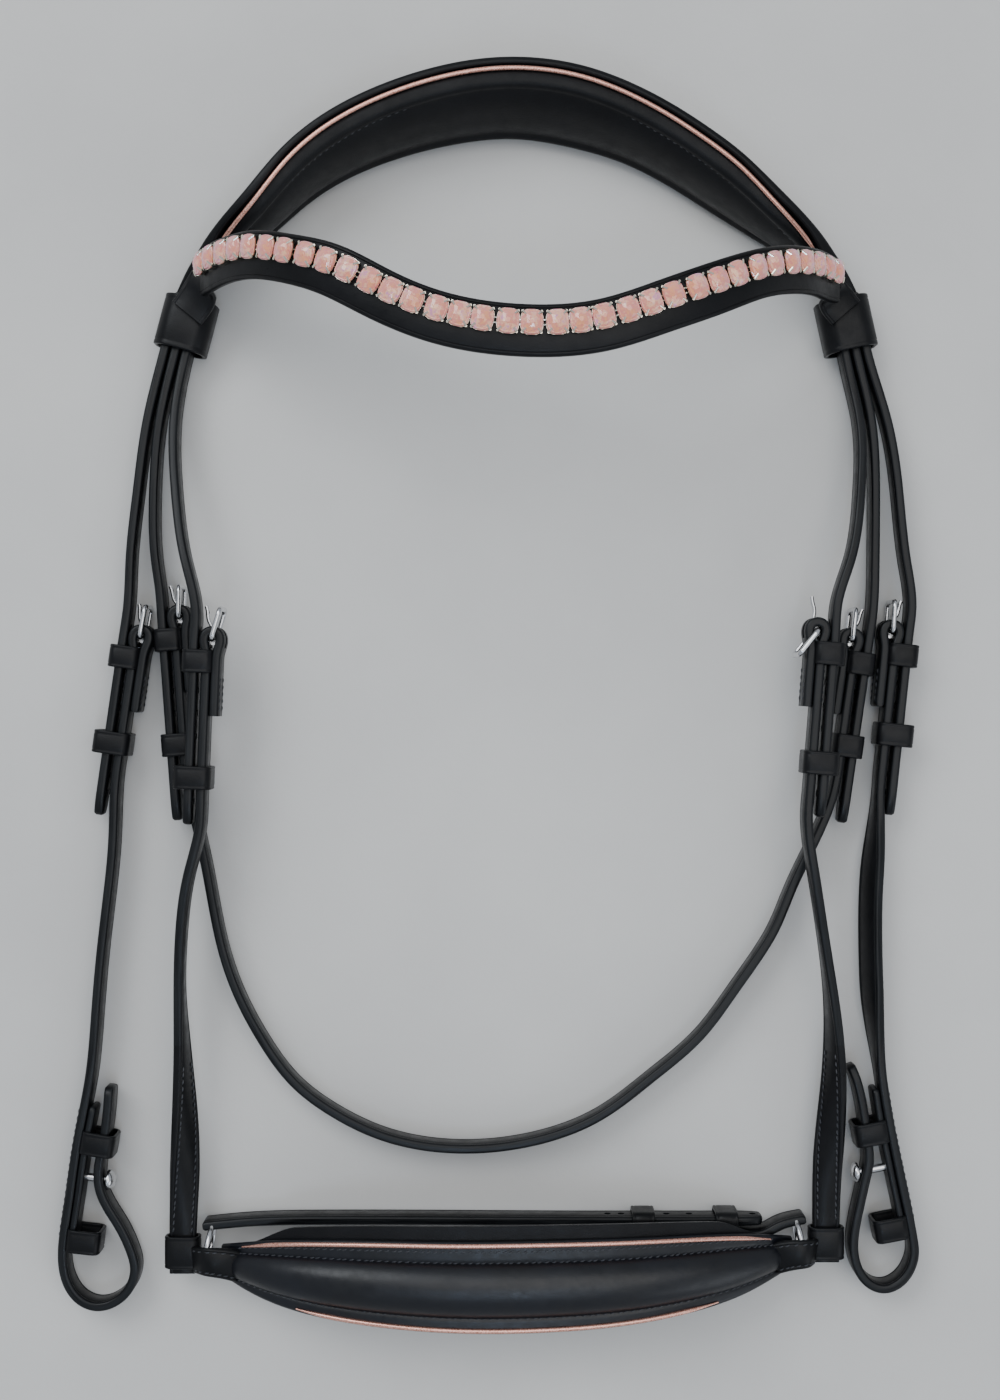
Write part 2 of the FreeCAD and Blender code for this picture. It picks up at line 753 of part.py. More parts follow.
def cheekpiece(side):
    """Folded buckle end, long strap and the bit loop with its lining, keepers and hook stud."""
    end = BUCKLES["cheek_" + side]
    body = new_body("cheekpiece_" + side)
    folded_end(body, end)
    straight(body, body.Name + "Straight", end, 20.0, 62.0, 0.0, THICK, LOW, "strap_width")
    path = [end.spot(62.0, THICK / 2)] + CHEEK_PATHS[side]
    curved(body, body.Name + "Loop", path, LOW, "strap_width", 160, start=end.down())
    curved(body, body.Name + "Inner", inner_layer(side), LOW, "strap_width", 24)
    fold_cuts(body, end)
    for level in ("upper", "lower"):
        place = BIT_PLACES[side][level]
        slit = new_sketch(body, body.Name + level.title() + "Slit", at_height(LOW + WIDTH))
        polygon(slit, place.box(-5.0, 5.0, THICK / 2 - WALL / 2, THICK / 2 + WALL / 2))
        pocket(body, slit, WIDTH)
    hole_place = BIT_PLACES[side]["stud"]
    x, y = hole_place.spot(0, 0)
    down = Vector(math.sin(hole_place.angle), -math.cos(hole_place.angle), 0)
    hole = new_sketch(body, body.Name + "StudHole",
                      facing(Vector(x, y, LOW), down, Vector(0, 0, 1)))
    circle(hole, 0, WIDTH / 2, 1.8)
    pocket(body, hole, WIDTH, through=True)
    for level in ("upper", "lower"):
        place = BIT_PLACES[side][level]
        box_keeper("bit_keeper_%s_%s" % (level, side), place, -5.0,
                   THICK / 2 + WALL / 2, 14.6, LOW, LOW + WIDTH)
    join_last_two("bit_keepers_" + side)
    hook_stud(side)
    fixed_keeper(end)
    runner_keeper(end)
    buckle_frame(end)
    buckle_tongue(end)


# length of each post, so that its button clears the return billet
STUD_REACH = {"left": 17.9, "right": 20.4}


def hook_stud(side):
    """Steel hook stud: rivet head, post and domed button inside the return billet."""
    place = BIT_PLACES[side]["stud"]
    name = "hook_stud_" + side
    x, y = place.spot(0, -THICK / 2)
    foot = Vector(x, y, LOW + WIDTH / 2)
    x, y = place.spot(0, 1)
    inward = (Vector(x, y, foot.z) - foot).normalize()
    reach = STUD_REACH[side]
    post = Part.makeCylinder(1.8, reach, foot, inward)
    button = Part.makeCone(size("stud_radius"), 2.2, 1.4, foot + inward * reach, inward)
    set_feature(name, [post.fuse(button).removeSplitter()])


# ---------------------------------------------------------------- throatlash

THROATLASH = [
    (-129.5, -71.5), (-121.5, -110.8), (-114.6, -130.1), (-104.5, -149.0), (-90.0, -168.3),
    (-74.0, -180.5), (-52.5, -191.0), (-17.5, -197.0), (13.0, -194.0), (43.8, -182.6),
    (67.0, -165.5), (87.6, -147.6), (102.5, -128.0), (113.9, -111.7), (120.0, -101.6),
    (128.3, -82.3),
]


def throatlash():
    """The long strap between the two throat buckles, with its buckles and keepers."""
    body = new_body("throatlash_strap")
    left, right = BUCKLES["throat_left"], BUCKLES["throat_right"]
    for end in (left, right):
        folded_end(body, end)
        straight(body, body.Name + end.name.title().replace("_", ""), end, 20.0, 64.0, 0.0, THICK,
                 LOW, "strap_width")
    path = [left.spot(64.0, THICK / 2)] + THROATLASH + [right.spot(64.0, THICK / 2)]
    curved(body, body.Name + "Sweep", path, LOW, "strap_width", 140, left.down(), right.down() * -1)
    for end in (left, right):
        fold_cuts(body, end)
    for end in (left, right):
        fixed_keeper(end, 10.1)
        runner_keeper(end)
        buckle_frame(end)
        buckle_tongue(end)


# ---------------------------------------------------------------- noseband hangers

# plan position, height of the middle of the strap and how far it has turned from on edge to flat
HANGERS = {
    "left": [
        (-134.0, -75.0, 27.5, 0), (-138.2, -103.0, 24.0, 0), (-139.4, -128.0, 20.5, 0),
        (-139.0, -146.0, 18.5, 8), (-138.4, -165.0, 17.0, 22), (-138.0, -190.0, 15.5, 48),
        (-138.6, -215.0, 14.0, 74), (-139.2, -236.0, 13.5, 90), (-139.2, -251.5, 13.5, 90),
    ],
    "right": [
        (134.8, -72.0, 27.5, 0), (140.2, -103.0, 23.5, 0), (144.2, -130.0, 20.5, -8),
        (145.8, -150.0, 18.5, -22), (145.8, -170.0, 17.0, -40), (144.6, -190.0, 15.5, -62),
        (143.4, -212.0, 14.0, -84), (143.1, -231.0, 13.5, -90), (143.1, -246.5, 13.5, -90),
    ],
}


# half the width of the hanger where it lies in its end loop
LOWER_HALF_WIDTH = 5.8


def hanger(side):
    """The strap that carries one end of the noseband: on edge at its buckle, flat at its loop."""
    end = BUCKLES["nose_" + side]
    body = new_body("noseband_hanger_" + side)
    folded_end(body, end)
    straight(body, body.Name + "Straight", end, 20.0, 79.0, 0.0, THICK, HIGH, "strap_width")
    x, y = end.spot(79.0, THICK / 2)
    path = [(x, y, HIGH + WIDTH / 2, 0)] + HANGERS[side]
    curve = spline([p[:3] for p in path])
    stations = []
    for p in path:
        along = curve.tangent(curve.parameter(Vector(*p[:3])))[0]
        if p is path[0]:
            along = Vector(math.sin(end.angle), -math.cos(end.angle), 0)
        up = Vector(0, 0, 1) - along * along.z
        up = Rotation(along, p[3]).multVec(up.normalize())
        stations.append((Vector(*p[:3]), along.cross(up).normalize(), up))
    half = THICK / 2
    lower = [LOWER_HALF_WIDTH + 0.3, LOWER_HALF_WIDTH, LOWER_HALF_WIDTH]
    reach = [WIDTH / 2] * (len(stations) - len(lower)) + lower
    loft(body, body.Name + "Lower", stations, lambda i: rectangle(half, -reach[i], reach[i]))
    fold_cuts(body, end)
    fixed_keeper(end)
    runner_keeper(end)
    buckle_frame(end)
    buckle_tongue(end)


# ---------------------------------------------------------------- noseband

# middle line of the noseband front, with half width and height of the swell at each place
NOSE = [
    (-122.5, -246.5, 12.0, 7.0, 3.0), (-116.0, -246.3, 18.5, 9.0, 3.5), (-101.0, -246.6, 28.0, 13.0, 5.0),
    (-78.0, -247.4, 36.5, 16.5, 6.5), (-50.0, -248.4, 41.5, 18.5, 7.5), (-15.0, -249.3, 43.5, 19.5, 8.0),
    (20.0, -248.8, 43.5, 19.5, 8.0), (54.0, -247.4, 41.5, 18.5, 7.5), (82.0, -245.4, 36.5, 16.5, 6.5),
    (106.0, -243.6, 28.0, 13.0, 5.0), (121.5, -242.8, 18.5, 9.0, 3.5), (128.5, -243.0, 12.0, 7.0, 3.0),
]
RINGS = {"left": (-127.8, -239.5, 12.0), "right": (131.5, -237.0, 12.0)}
RING_TURN = {"left": -10.0, "right": 10.0}


def nose_stations():
    """Section planes of the noseband front."""
    curve = spline([p[:3] for p in NOSE])
    stations = []
    for p in NOSE:
        point, along, wide, out = brow_frame(curve, curve.parameter(Vector(*p[:3])))
        stations.append((point, wide, out))
    return stations


def noseband_front():
    """Front leather, padding behind it and the two piping cords."""
    stations = nose_stations()

    def leather(i):
        half, swell = NOSE[i][3], NOSE[i][4]
        return [
            (-half, -2.5), (half, -2.5), (half, 0), (half * 0.72, 0), (half * 0.5, swell * 0.4),
            (0, swell * 0.62), (-half * 0.5, swell * 0.4), (-half * 0.72, 0), (-half, 0),
        ]

    def cushion(i):
        half, swell = NOSE[i][3], NOSE[i][4]
        deep = -2.55 - swell * 0.6
        lip = swell * 0.5
        return [
            (-half * 0.9, -2.55), (-half * 0.82, deep),
            (half * 0.82 + lip, deep), (half * 0.9 + lip, -2.55),
        ]

    body = new_body("noseband_leather")
    loft(body, "noseband_leatherFront", stations, leather)
    for side in ("left", "right"):
        noseband_tab(body, side)
    body = new_body("noseband_padding")
    loft(body, "noseband_paddingCushion", stations[2:-2], lambda k: cushion(k + 2))

    radius = size("piping_radius")
    for tag, sign in (("top", 1), ("bottom", -1)):
        points = []
        for i in range(2, len(NOSE) - 2):
            point, wide, out = stations[i]
            points.append(point + wide * sign * (NOSE[i][3] - 1.9) + out * (radius + 0.1))
        curve = spline([tuple(p) for p in points])
        rounds = []
        for p in points:
            along = curve.tangent(curve.parameter(p))[0]
            side = along.cross(Vector(0, 1, 0)).normalize()
            rounds.append((p, side, along.cross(side)))
        body = new_body("noseband_piping_" + tag)
        loft(body, body.Name + "Cord", rounds, lambda i: many_sided(radius * 0.8, 10))
    join_last_two("noseband_piping")


def ring_axes(side):
    """Directions of a ring: its rearward radius in plan, and the line square to its plane."""
    turn = math.radians(RING_TURN[side])
    rear = Vector(-math.sin(turn), math.cos(turn), 0)
    return rear, Vector(rear.y, -rear.x, 0)


def noseband_ring(side):
    """The ring that joins the noseband front to the chin strap."""
    name = "noseband_ring_" + side
    rear, axle = ring_axes(side)
    ring = doc.addObject("Part::Torus", name)
    ring.setExpression("Radius1", "Dimensions.ring_radius")
    ring.setExpression("Radius2", "Dimensions.ring_wire")
    ring.Label = name
    ring.Placement = Placement(Vector(*RINGS[side]), Rotation(Vector(0, 0, 1), axle))
    doc.recompute()
    pieces.append(ring)


def clear_for_ring(body, side):
    """A channel for the ring's wire through the leather that holds it."""
    rear, axle = ring_axes(side)
    sketch = new_sketch(body, body.Name + "Channel", facing(Vector(*RINGS[side]), rear, axle))
    circle(sketch, size("ring_radius"), 0, size("ring_wire") + 0.4)
    doc.recompute()
    before = body.Shape.Volume
    groove = body.newObject("PartDesign::Groove", body.Name + "Groove")
    groove.Profile = sketch
    groove.ReferenceAxis = (sketch, ["V_Axis"])
    groove.Angle = 360
    sketch.Visibility = False
    body.Tip = groove
    doc.recompute()
    if abs(body.Shape.Volume - before) < 0.001:
        raise RuntimeError(sketch.Name + " cut nothing")


END_LOOPS = {"left": (-139.2, -242.0), "right": (143.1, -238.0)}
LOOP_HALF_WIDTH = 7.5
LOOP_WALL = 1.4
LOOP_HALF_LENGTH = 7.0


def noseband_tab(body, side):
    """The end of the noseband front, folded round the front of its ring."""
    rear, axle = ring_axes(side)
    front = Vector(*RINGS[side]) - rear * size("ring_radius")
    outward = -1 if side == "left" else 1
    loop_x = END_LOOPS[side][0] - outward * LOOP_HALF_WIDTH
    inner_x = NOSE[0 if side == "left" else -1][0] - outward * 3.5
    sketch = new_sketch(body, body.Name + "Tab" + side.title(), at_height(8.0))
    polygon(sketch, [(loop_x, front.y - 3.2), (inner_x, front.y - 3.2),
                     (inner_x, front.y + 3.2), (loop_x, front.y + 3.2)])
    block(body, sketch, 7.0)
    clear_for_ring(body, side)


def end_loop(side):
    """A leather loop at the end of the noseband front, round the end of its hanger."""
    x, y = END_LOOPS[side]
    body = new_body("noseband_end_loop_" + side)
    low, high = 9.2, 17.8
    outer = new_sketch(body, body.Name + "Outer", at_height(low))
    near, far = y - LOOP_HALF_LENGTH, y + LOOP_HALF_LENGTH
    first, last = x - LOOP_HALF_WIDTH, x + LOOP_HALF_WIDTH
    polygon(outer, [(first, near), (last, near), (last, far), (first, far)])
    block(body, outer, high - low)
    inside = new_sketch(body, body.Name + "Inside", at_height(high - LOOP_WALL))
    half = LOOP_HALF_WIDTH - LOOP_WALL
    polygon(inside, [(x - half, y - 9), (x + half, y - 9), (x + half, y + 9), (x - half, y + 9)])
    pocket(body, inside, high - low - 2 * LOOP_WALL)


def chin_strap():
    """The buckle side and the billet side of the chin strap."""
    end = BUCKLES["chin"]
    body = new_body("chin_strap_buckle_side")
    folded_end(body, end)
    far = Vector(*RINGS["right"]) + ring_axes("right")[0] * size("ring_radius")
    straight(body, body.Name + "Straight", end, 20.0, 62.0, 0.0, THICK, LOW, "strap_width")
    path = [end.spot(62.0, THICK / 2), (122.0, -231.0), (far.x + 4.2, far.y + 0.2)]
    curved(body, body.Name + "Reach", path, LOW, "strap_width", start=end.down())
    clear_for_ring(body, "right")
    fold_cuts(body, end)

    body = new_body("chin_strap_billet_side")
    low = LOW + (WIDTH - BILLET) / 2
    half = THICK / 2
    straight(body, body.Name + "Straight", end, BILLET_TOP, BILLET_TIP - 18.0, BILLET_V - half,
             BILLET_V + half, low, "billet_width")
    far = Vector(*RINGS["left"]) + ring_axes("left")[0] * size("ring_radius")
    path = [
        (far.x - 4.2, far.y - 0.4), (-112.0, -229.2), (-80.0, -228.3), (-20.0, -228.4),
        end.spot(BILLET_TOP, BILLET_V),
    ]
    curved(body, body.Name + "Reach", path, low, "billet_width", finish=end.down())
    clear_for_ring(body, "left")
    punch(body, body.Name + "Holes", end, BILLET_V, low, [-6.0, 0.0, 20.0, 30.0, 58.0])
    fixed_keeper(end, 10.1)
    runner_keeper(end)
    buckle_frame(end)
    buckle_tongue(end)


# ---------------------------------------------------------------- the whole bridle

CHEEK_HOLES = [-4.0, 22.0, 32.0, 62.0, 70.0]
NOSE_HOLES = [-4.0, 22.0, 32.0, 42.0, 70.0]

BILLET_PATHS = {
    "cheek_left": [(-140.7, 178.6), (-148.3, 149.8), (-154.9, 122.6), (-159.2, 92.0), (-162.4, 61.3)],
    "throat_left": [(-136.1, 177.4), (-143.4, 149.8), (-149.5, 122.6), (-152.0, 92.0), (-151.2, 61.3)],
    "nose_left": [
        (-131.5, 176.2), (-135.2, 162.6), (-139.2, 146.5), (-142.5, 122.0), (-140.7, 91.0), (-135.4, 60.0),
    ],
    "cheek_right": [(155.6, 178.6), (162.8, 146.7), (170.0, 122.6), (175.0, 92.0), (178.4, 61.3)],
    "throat_right": [(150.9, 177.6), (157.8, 146.7), (163.0, 122.6), (164.8, 92.0), (164.6, 61.3)],
    "nose_right": [
        (146.3, 176.6), (149.6, 162.0), (153.4, 143.8), (157.3, 122.0), (156.4, 91.0), (150.8, 60.0),
    ],
}

crown()
for group, upper in BILLET_PATHS.items():
    strap, side = group.split("_")
    spare = CHEEK_HOLES if strap == "cheek" else NOSE_HOLES
    full = {"cheek": "cheek", "throat": "throat", "nose": "noseband"}[strap]
    billet("billet_%s_%s" % (full, side), BUCKLES[group], upper, spare)
browband()
for side in ("left", "right"):
    browband_loop(side)
    cheekpiece(side)
    hanger(side)
    end_loop(side)
    noseband_ring(side)
throatlash()
noseband_front()
chin_strap()
doc.recompute()

for thing in doc.Objects:
    if "Invalid" in thing.State or "Error" in thing.State:
        raise RuntimeError("%s did not recompute: %s" % (thing.Name, thing.State))

bounds = FreeCAD.BoundBox()
for piece in pieces:
    bounds.add(piece.Shape.optimalBoundingBox())
middle = Vector((bounds.XMin + bounds.XMax) / 2, (bounds.YMin + bounds.YMax) / 2, bounds.ZMin)
for piece in pieces:
    piece.Placement = Placement(middle * -1, Rotation()).multiply(piece.Placement)
doc.recompute()

os.makedirs("parts", exist_ok=True)
for piece in pieces:
    shape = piece.Shape
    if shape.isNull() or not shape.isValid():
        raise RuntimeError(piece.Label + " is not a sound solid")
for piece in pieces:
    piece.Shape.exportStep("parts/%s.step" % piece.Label)
print("pieces", len(pieces), "moved by", [round(value, 3) for value in (-middle.x, -middle.y, -middle.z)])
print("overall", round(bounds.XLength, 2), round(bounds.YLength, 2), round(bounds.ZLength, 2))
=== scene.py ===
import json
import math

import bmesh
import bpy
import numpy as np
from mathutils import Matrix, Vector


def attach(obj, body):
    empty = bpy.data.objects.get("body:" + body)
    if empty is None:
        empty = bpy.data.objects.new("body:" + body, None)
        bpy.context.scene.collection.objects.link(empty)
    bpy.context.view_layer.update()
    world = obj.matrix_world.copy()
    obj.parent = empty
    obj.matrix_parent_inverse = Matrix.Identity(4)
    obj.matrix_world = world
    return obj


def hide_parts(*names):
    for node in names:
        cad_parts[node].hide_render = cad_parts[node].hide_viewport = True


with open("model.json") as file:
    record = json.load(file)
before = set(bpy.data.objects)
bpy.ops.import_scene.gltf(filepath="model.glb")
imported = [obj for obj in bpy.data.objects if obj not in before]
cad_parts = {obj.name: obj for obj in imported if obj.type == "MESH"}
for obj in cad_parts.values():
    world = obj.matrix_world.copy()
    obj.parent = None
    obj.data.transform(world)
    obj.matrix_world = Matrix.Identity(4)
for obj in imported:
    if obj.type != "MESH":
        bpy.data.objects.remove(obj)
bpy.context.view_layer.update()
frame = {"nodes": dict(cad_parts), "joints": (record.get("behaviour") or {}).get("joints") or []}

# ------------------------------------------------------------------ places
# Paths are drawn in millimetres about the middle of the head opening, as the solids are,
# and moved to the row frame by the difference from the chin buckle's bar.

WIDTH = 13.0
BILLET = 12.4
THICK = 4.0
WALL = 1.6
LOW = 3.0
HIGH = 22.0
BILLET_AT = 7.7
STITCH = 3.0
STITCH_ROWS = (-4.3, 4.3)
UP = np.array([0.0, 0.0, 1.0])
CHIN_BAR = (53.4, -236.4, LOW + WIDTH / 2)


def joint(name):
    """The frame's record of a joint."""
    return next(j for j in frame["joints"] if j["name"] == name)


SHIFT = np.array(joint("frame_chin_hinge")["pos_m"]) * 1000 - np.array(CHIN_BAR)


class Place:
    """A spot on a strap: u runs down the strap, v across it towards side."""

    def __init__(self, x, y, angle, side, level=LOW):
        """A bar at x, y with its strap turned by angle; level is the strap's lower edge."""
        self.x, self.y, self.side, self.level = x, y, side, level
        self.turn = math.radians(angle)

    def down(self):
        """The direction down the strap."""
        return np.array([math.sin(self.turn), -math.cos(self.turn), 0.0])

    def across(self):
        """The direction across the strap, towards its outer face."""
        return self.side * np.array([math.cos(self.turn), math.sin(self.turn), 0.0])

    def at(self, u, v, z=0.0):
        """The point u down and v across, at height z."""
        return np.array([self.x, self.y, z]) + self.down() * u + self.across() * v


BUCKLES = {
    "cheek_left": Place(-157.6, 27.6, -8.2, -1),
    "throat_left": Place(-140.8, 36.4, 4.2, -1),
    "nose_left": Place(-123.5, 26.1, -2.3, -1, HIGH),
    "nose_right": Place(136.3, 30.0, -4.5, 1, HIGH),
    "throat_right": Place(154.2, 26.3, -8.2, 1),
    "cheek_right": Place(171.9, 29.8, -6.0, 1),
    "chin": Place(53.4, -236.4, 90.0, 1),
}
RUNNER_AT = {
    "cheek_left": 47.7, "throat_left": 55.8, "nose_left": 59.7,
    "nose_right": 56.7, "throat_right": 46.2, "cheek_right": 44.7, "chin": 46.0,
}
RUNNER_REACH = {
    "cheek_left": 12.5, "throat_left": 10.2, "nose_left": 12.5,
    "nose_right": 12.0, "throat_right": 10.2, "cheek_right": 12.5, "chin": 10.2,
}
BODY_OF_BUCKLE = {name: (name if name.startswith("cheek") else "headstall") for name in BUCKLES}

CHEEKS = {
    "left": [
        (-169.9, -61.3), (-172.4, -87.6), (-175.4, -113.9), (-177.6, -140.2), (-179.9, -164.3),
        (-184.0, -186.5), (-186.5, -201.0), (-188.9, -217.9), (-191.0, -231.9), (-192.0, -243.5),
        (-190.2, -254.9), (-184.7, -263.0), (-177.0, -266.1), (-169.4, -264.3), (-162.6, -257.9),
        (-160.3, -249.3), (-162.4, -240.9), (-166.2, -232.6), (-171.3, -224.3), (-175.6, -215.0),
        (-176.3, -207.0), (-175.4, -200.5), (-173.4, -190.0), (-172.1, -178.7), (-171.5, -169.7),
    ],
    "right": [
        (166.0, -53.9), (163.8, -82.3), (163.5, -110.8), (164.5, -135.0), (166.8, -158.0),
        (170.5, -183.0), (174.5, -203.0), (178.3, -221.0), (181.2, -236.0), (181.8, -243.0),
        (180.4, -248.8), (175.8, -255.3), (168.9, -258.3), (162.2, -256.2), (157.2, -249.8),
        (155.2, -241.0), (156.0, -231.0), (158.2, -220.5), (160.6, -210.0), (162.0, -202.5),
        (161.6, -195.0), (159.8, -182.0), (158.0, -172.5), (156.0, -165.5), (154.0, -160.5),
    ],
}
STUDS = {"left": Place(-187.7, -209.5, -8.5, 1), "right": Place(174.9, -205.0, 11.2, -1)}
BUTTON_AT = {"left": 14.3, "right": 16.8}
INNER_SPAN = {"left": (-177.5, -246.0), "right": (-170.0, -243.0)}
BIT_KEEPERS = {
    "left": [Place(-185.2, -193.5, -9.6, 1), Place(-191.5, -236.6, -6.4, 1)],
    "right": [Place(171.6, -188.5, 10.9, -1), Place(180.3, -230.5, 10.9, -1)],
}
THROATLASH = [
    (-129.5, -71.5), (-121.5, -110.8), (-114.6, -130.1), (-104.5, -149.0), (-90.0, -168.3),
    (-74.0, -180.5), (-52.5, -191.0), (-17.5, -197.0), (13.0, -194.0), (43.8, -182.6),
    (67.0, -165.5), (87.6, -147.6), (102.5, -128.0), (113.9, -111.7), (120.0, -101.6),
    (128.3, -82.3),
]
# each point: place in plan, height of the strap's middle, and turn from on edge to flat
HANGERS = {
    "left": [
        (-134.0, -75.0, 27.5, 0), (-138.2, -103.0, 24.0, 0), (-139.4, -128.0, 20.5, 0),
        (-139.0, -146.0, 18.5, 8), (-138.4, -165.0, 17.0, 22), (-138.0, -190.0, 15.5, 48),
        (-138.6, -215.0, 14.0, 74), (-139.2, -236.0, 13.5, 90), (-139.2, -251.5, 13.5, 90),
    ],
    "right": [
        (134.8, -72.0, 27.5, 0), (140.2, -103.0, 23.5, 0), (144.2, -130.0, 20.5, -8),
        (145.8, -150.0, 18.5, -22), (145.8, -170.0, 17.0, -40), (144.6, -190.0, 15.5, -62),
        (143.4, -212.0, 14.0, -84), (143.1, -231.0, 13.5, -90), (143.1, -246.5, 13.5, -90),
    ],
}
BILLETS = {
    "cheek_left": [(-140.9, 178.6), (-148.3, 149.8), (-154.9, 122.6), (-159.2, 92.0), (-162.4, 61.3)],
    "throat_left": [(-136.3, 177.4), (-143.4, 149.8), (-149.5, 122.6), (-152.0, 92.0), (-151.2, 61.3)],
    "nose_left": [
        (-131.7, 176.2), (-135.2, 162.6), (-139.2, 146.5),
        (-142.5, 122.0), (-140.7, 91.0), (-135.4, 60.0),
    ],
    "cheek_right": [(155.6, 178.6), (162.8, 146.7), (170.0, 122.6), (175.0, 92.0), (178.4, 61.3)],
    "throat_right": [(150.9, 177.6), (157.8, 146.7), (163.0, 122.6), (164.8, 92.0), (164.6, 61.3)],
    "nose_right": [
        (146.3, 176.6), (149.6, 162.0), (153.4, 143.8),
        (157.3, 122.0), (156.4, 91.0), (150.8, 60.0),
    ],
}
CROWN = [
    ((-134.9, 177.2, 3.0), (-134.9, 177.2, 16.0)), ((-120.0, 191.0, 1.5), (-121.5, 192.2, 28.5)),
    ((-100.2, 208.0, 1.5), (-102.5, 210.0, 39.0)), ((-82.4, 222.2, 2.5), (-87.0, 227.0, 42.0)),
    ((-52.6, 236.9, 3.5), (-59.5, 247.5, 43.0)), ((-17.4, 245.8, 4.3), (-20.0, 261.8, 43.5)),
    ((5.8, 247.6, 4.5), (5.8, 264.8, 43.5)), ((32.5, 243.6, 4.3), (37.0, 260.3, 43.5)),
    ((52.6, 238.0, 3.8), (60.0, 250.5, 43.0)), ((75.7, 226.7, 3.2), (83.0, 236.5, 42.0)),
    ((93.5, 216.0, 2.5), (99.5, 224.0, 41.0)), ((112.0, 205.5, 1.5), (115.0, 209.5, 39.0)),
    ((133.0, 191.5, 1.5), (134.5, 193.0, 28.5)), ((149.6, 177.4, 3.0), (149.6, 177.4, 16.0)),
]
BROW = [
    (-129.6, 183.4, 28.7), (-127.5, 184.0, 33.0), (-117.0, 185.0, 49.0), (-103.0, 184.0, 64.5),
    (-87.0, 179.5, 77.0), (-70.0, 173.5, 85.5), (-48.0, 162.0, 91.0), (-24.0, 152.4, 92.5),
    (9.0, 147.3, 93.0), (41.0, 149.6, 92.0), (66.0, 157.5, 90.5), (88.0, 166.0, 84.5),
    (107.0, 174.0, 74.0), (122.0, 178.5, 61.5), (134.5, 180.5, 47.0), (143.5, 181.0, 32.5),
    (146.6, 180.9, 28.7),
]
BROW_LOOPS = {"left": Place(-138.3, 165.0, -14.8, -1), "right": Place(152.5, 165.0, 12.3, 1)}
NOSE = [
    (-122.5, -246.5, 12.0, 7.0, 3.0), (-116.0, -246.3, 18.5, 9.0, 3.5),
    (-101.0, -246.6, 28.0, 13.0, 5.0), (-78.0, -247.4, 36.5, 16.5, 6.5),
    (-50.0, -248.4, 41.5, 18.5, 7.5), (-15.0, -249.3, 43.5, 19.5, 8.0),
    (20.0, -248.8, 43.5, 19.5, 8.0), (54.0, -247.4, 41.5, 18.5, 7.5),
    (82.0, -245.4, 36.5, 16.5, 6.5), (106.0, -243.6, 28.0, 13.0, 5.0),
    (121.5, -242.8, 18.5, 9.0, 3.5), (128.5, -243.0, 12.0, 7.0, 3.0),
]
END_LOOPS = {"left": (-139.2, -242.0), "right": (143.1, -238.0)}

# ------------------------------------------------------------------ curves and meshes


def spline(points):
    """Samples a smooth curve through points at even steps; extra columns ride along."""
    p = np.array([list(q) for q in points], float)
    t = run_of(p)
    n, h = len(t), np.diff(t)
    a, r = np.zeros((n, n)), np.zeros((n, p.shape[1]))
    slope = np.diff(p, axis=0) / h[:, None]
    for i in range(1, n - 1):
        a[i, i - 1], a[i, i], a[i, i + 1] = h[i - 1], 2 * (h[i - 1] + h[i]), h[i]
        r[i] = 6 * (slope[i] - slope[i - 1])
    a[0, 0] = a[-1, -1] = 1
    m = np.linalg.solve(a, r)
    fine = []
    for i in range(n - 1):
        for f in np.linspace(0, 1, 40, endpoint=i == n - 2):
            s, c = f * h[i], (1 - f) * h[i]
            fine.append(
                m[i] * c**3 / (6 * h[i]) + m[i + 1] * s**3 / (6 * h[i])
                + (p[i] / h[i] - m[i] * h[i] / 6) * c + (p[i + 1] / h[i] - m[i + 1] * h[i] / 6) * s)
    return even(np.array(fine), 0.8)


def even(path, step):
    """The same path with points an even step apart."""
    run = run_of(path)
    count = max(2, int(round(run[-1] / step)) + 1)
    marks = np.linspace(0, run[-1], count)
    return np.stack([np.interp(marks, run, path[:, k]) for k in range(path.shape[1])], 1)


def run_of(path):
    """Length along a path at each of its points."""
    return np.concatenate([[0], np.cumsum(np.linalg.norm(np.diff(path[:, :3], axis=0), axis=1))])


def soft(x):
    """A smooth step from 0 to 1."""
    x = min(1.0, max(0.0, x))
    return x * x * (3 - 2 * x)


def unit(v):
    """Each vector at length one."""
    return v / np.maximum(np.linalg.norm(v, axis=-1, keepdims=True), 1e-9)


def tangents(path, closed=False):
    """The direction of a path at each of its points."""
    p = path[:, :3]
    if closed:
        return unit(np.roll(p, -1, 0) - np.roll(p, 1, 0))
    return unit(np.gradient(p, axis=0))


class Sweep:
    """A section carried along a path. wide is the section's a direction and out its b direction."""

    def __init__(self, path, wide, out, closed=False):
        """path holds the points; wide and out hold a direction for each of them."""
        self.path, self.wide, self.out, self.closed = path[:, :3], wide, out, closed
        self.run = run_of(self.path)

    def point(self, distance, a, b):
        """A place on the sweep at this length along it, with the path's direction there."""
        i = min(int(np.searchsorted(self.run, distance)), len(self.run) - 1)
        p = self.path[i] + self.wide[i] * a + self.out[i] * b
        j, k = max(i - 1, 0), min(i + 1, len(self.path) - 1)
        return p, unit(self.path[k] - self.path[j]), self.wide[i], self.out[i]


def on_edge(path, height, lean=None):
    """A sweep of a strap that stands on edge with its middle at this height.
    lean(point) turns it, in degrees."""
    p = np.zeros((len(path), 3))
    p[:, :2] = path[:, :2]
    p[:, 2] = height
    along = tangents(p)
    wide = unit(UP - along * (along @ UP)[:, None])
    out = np.cross(along, wide)
    if lean:
        turn = np.radians([lean(point) for point in p])[:, None]
        wide = wide * np.cos(turn) + out * np.sin(turn)
        out = np.cross(along, wide)
    return Sweep(p, wide, out)


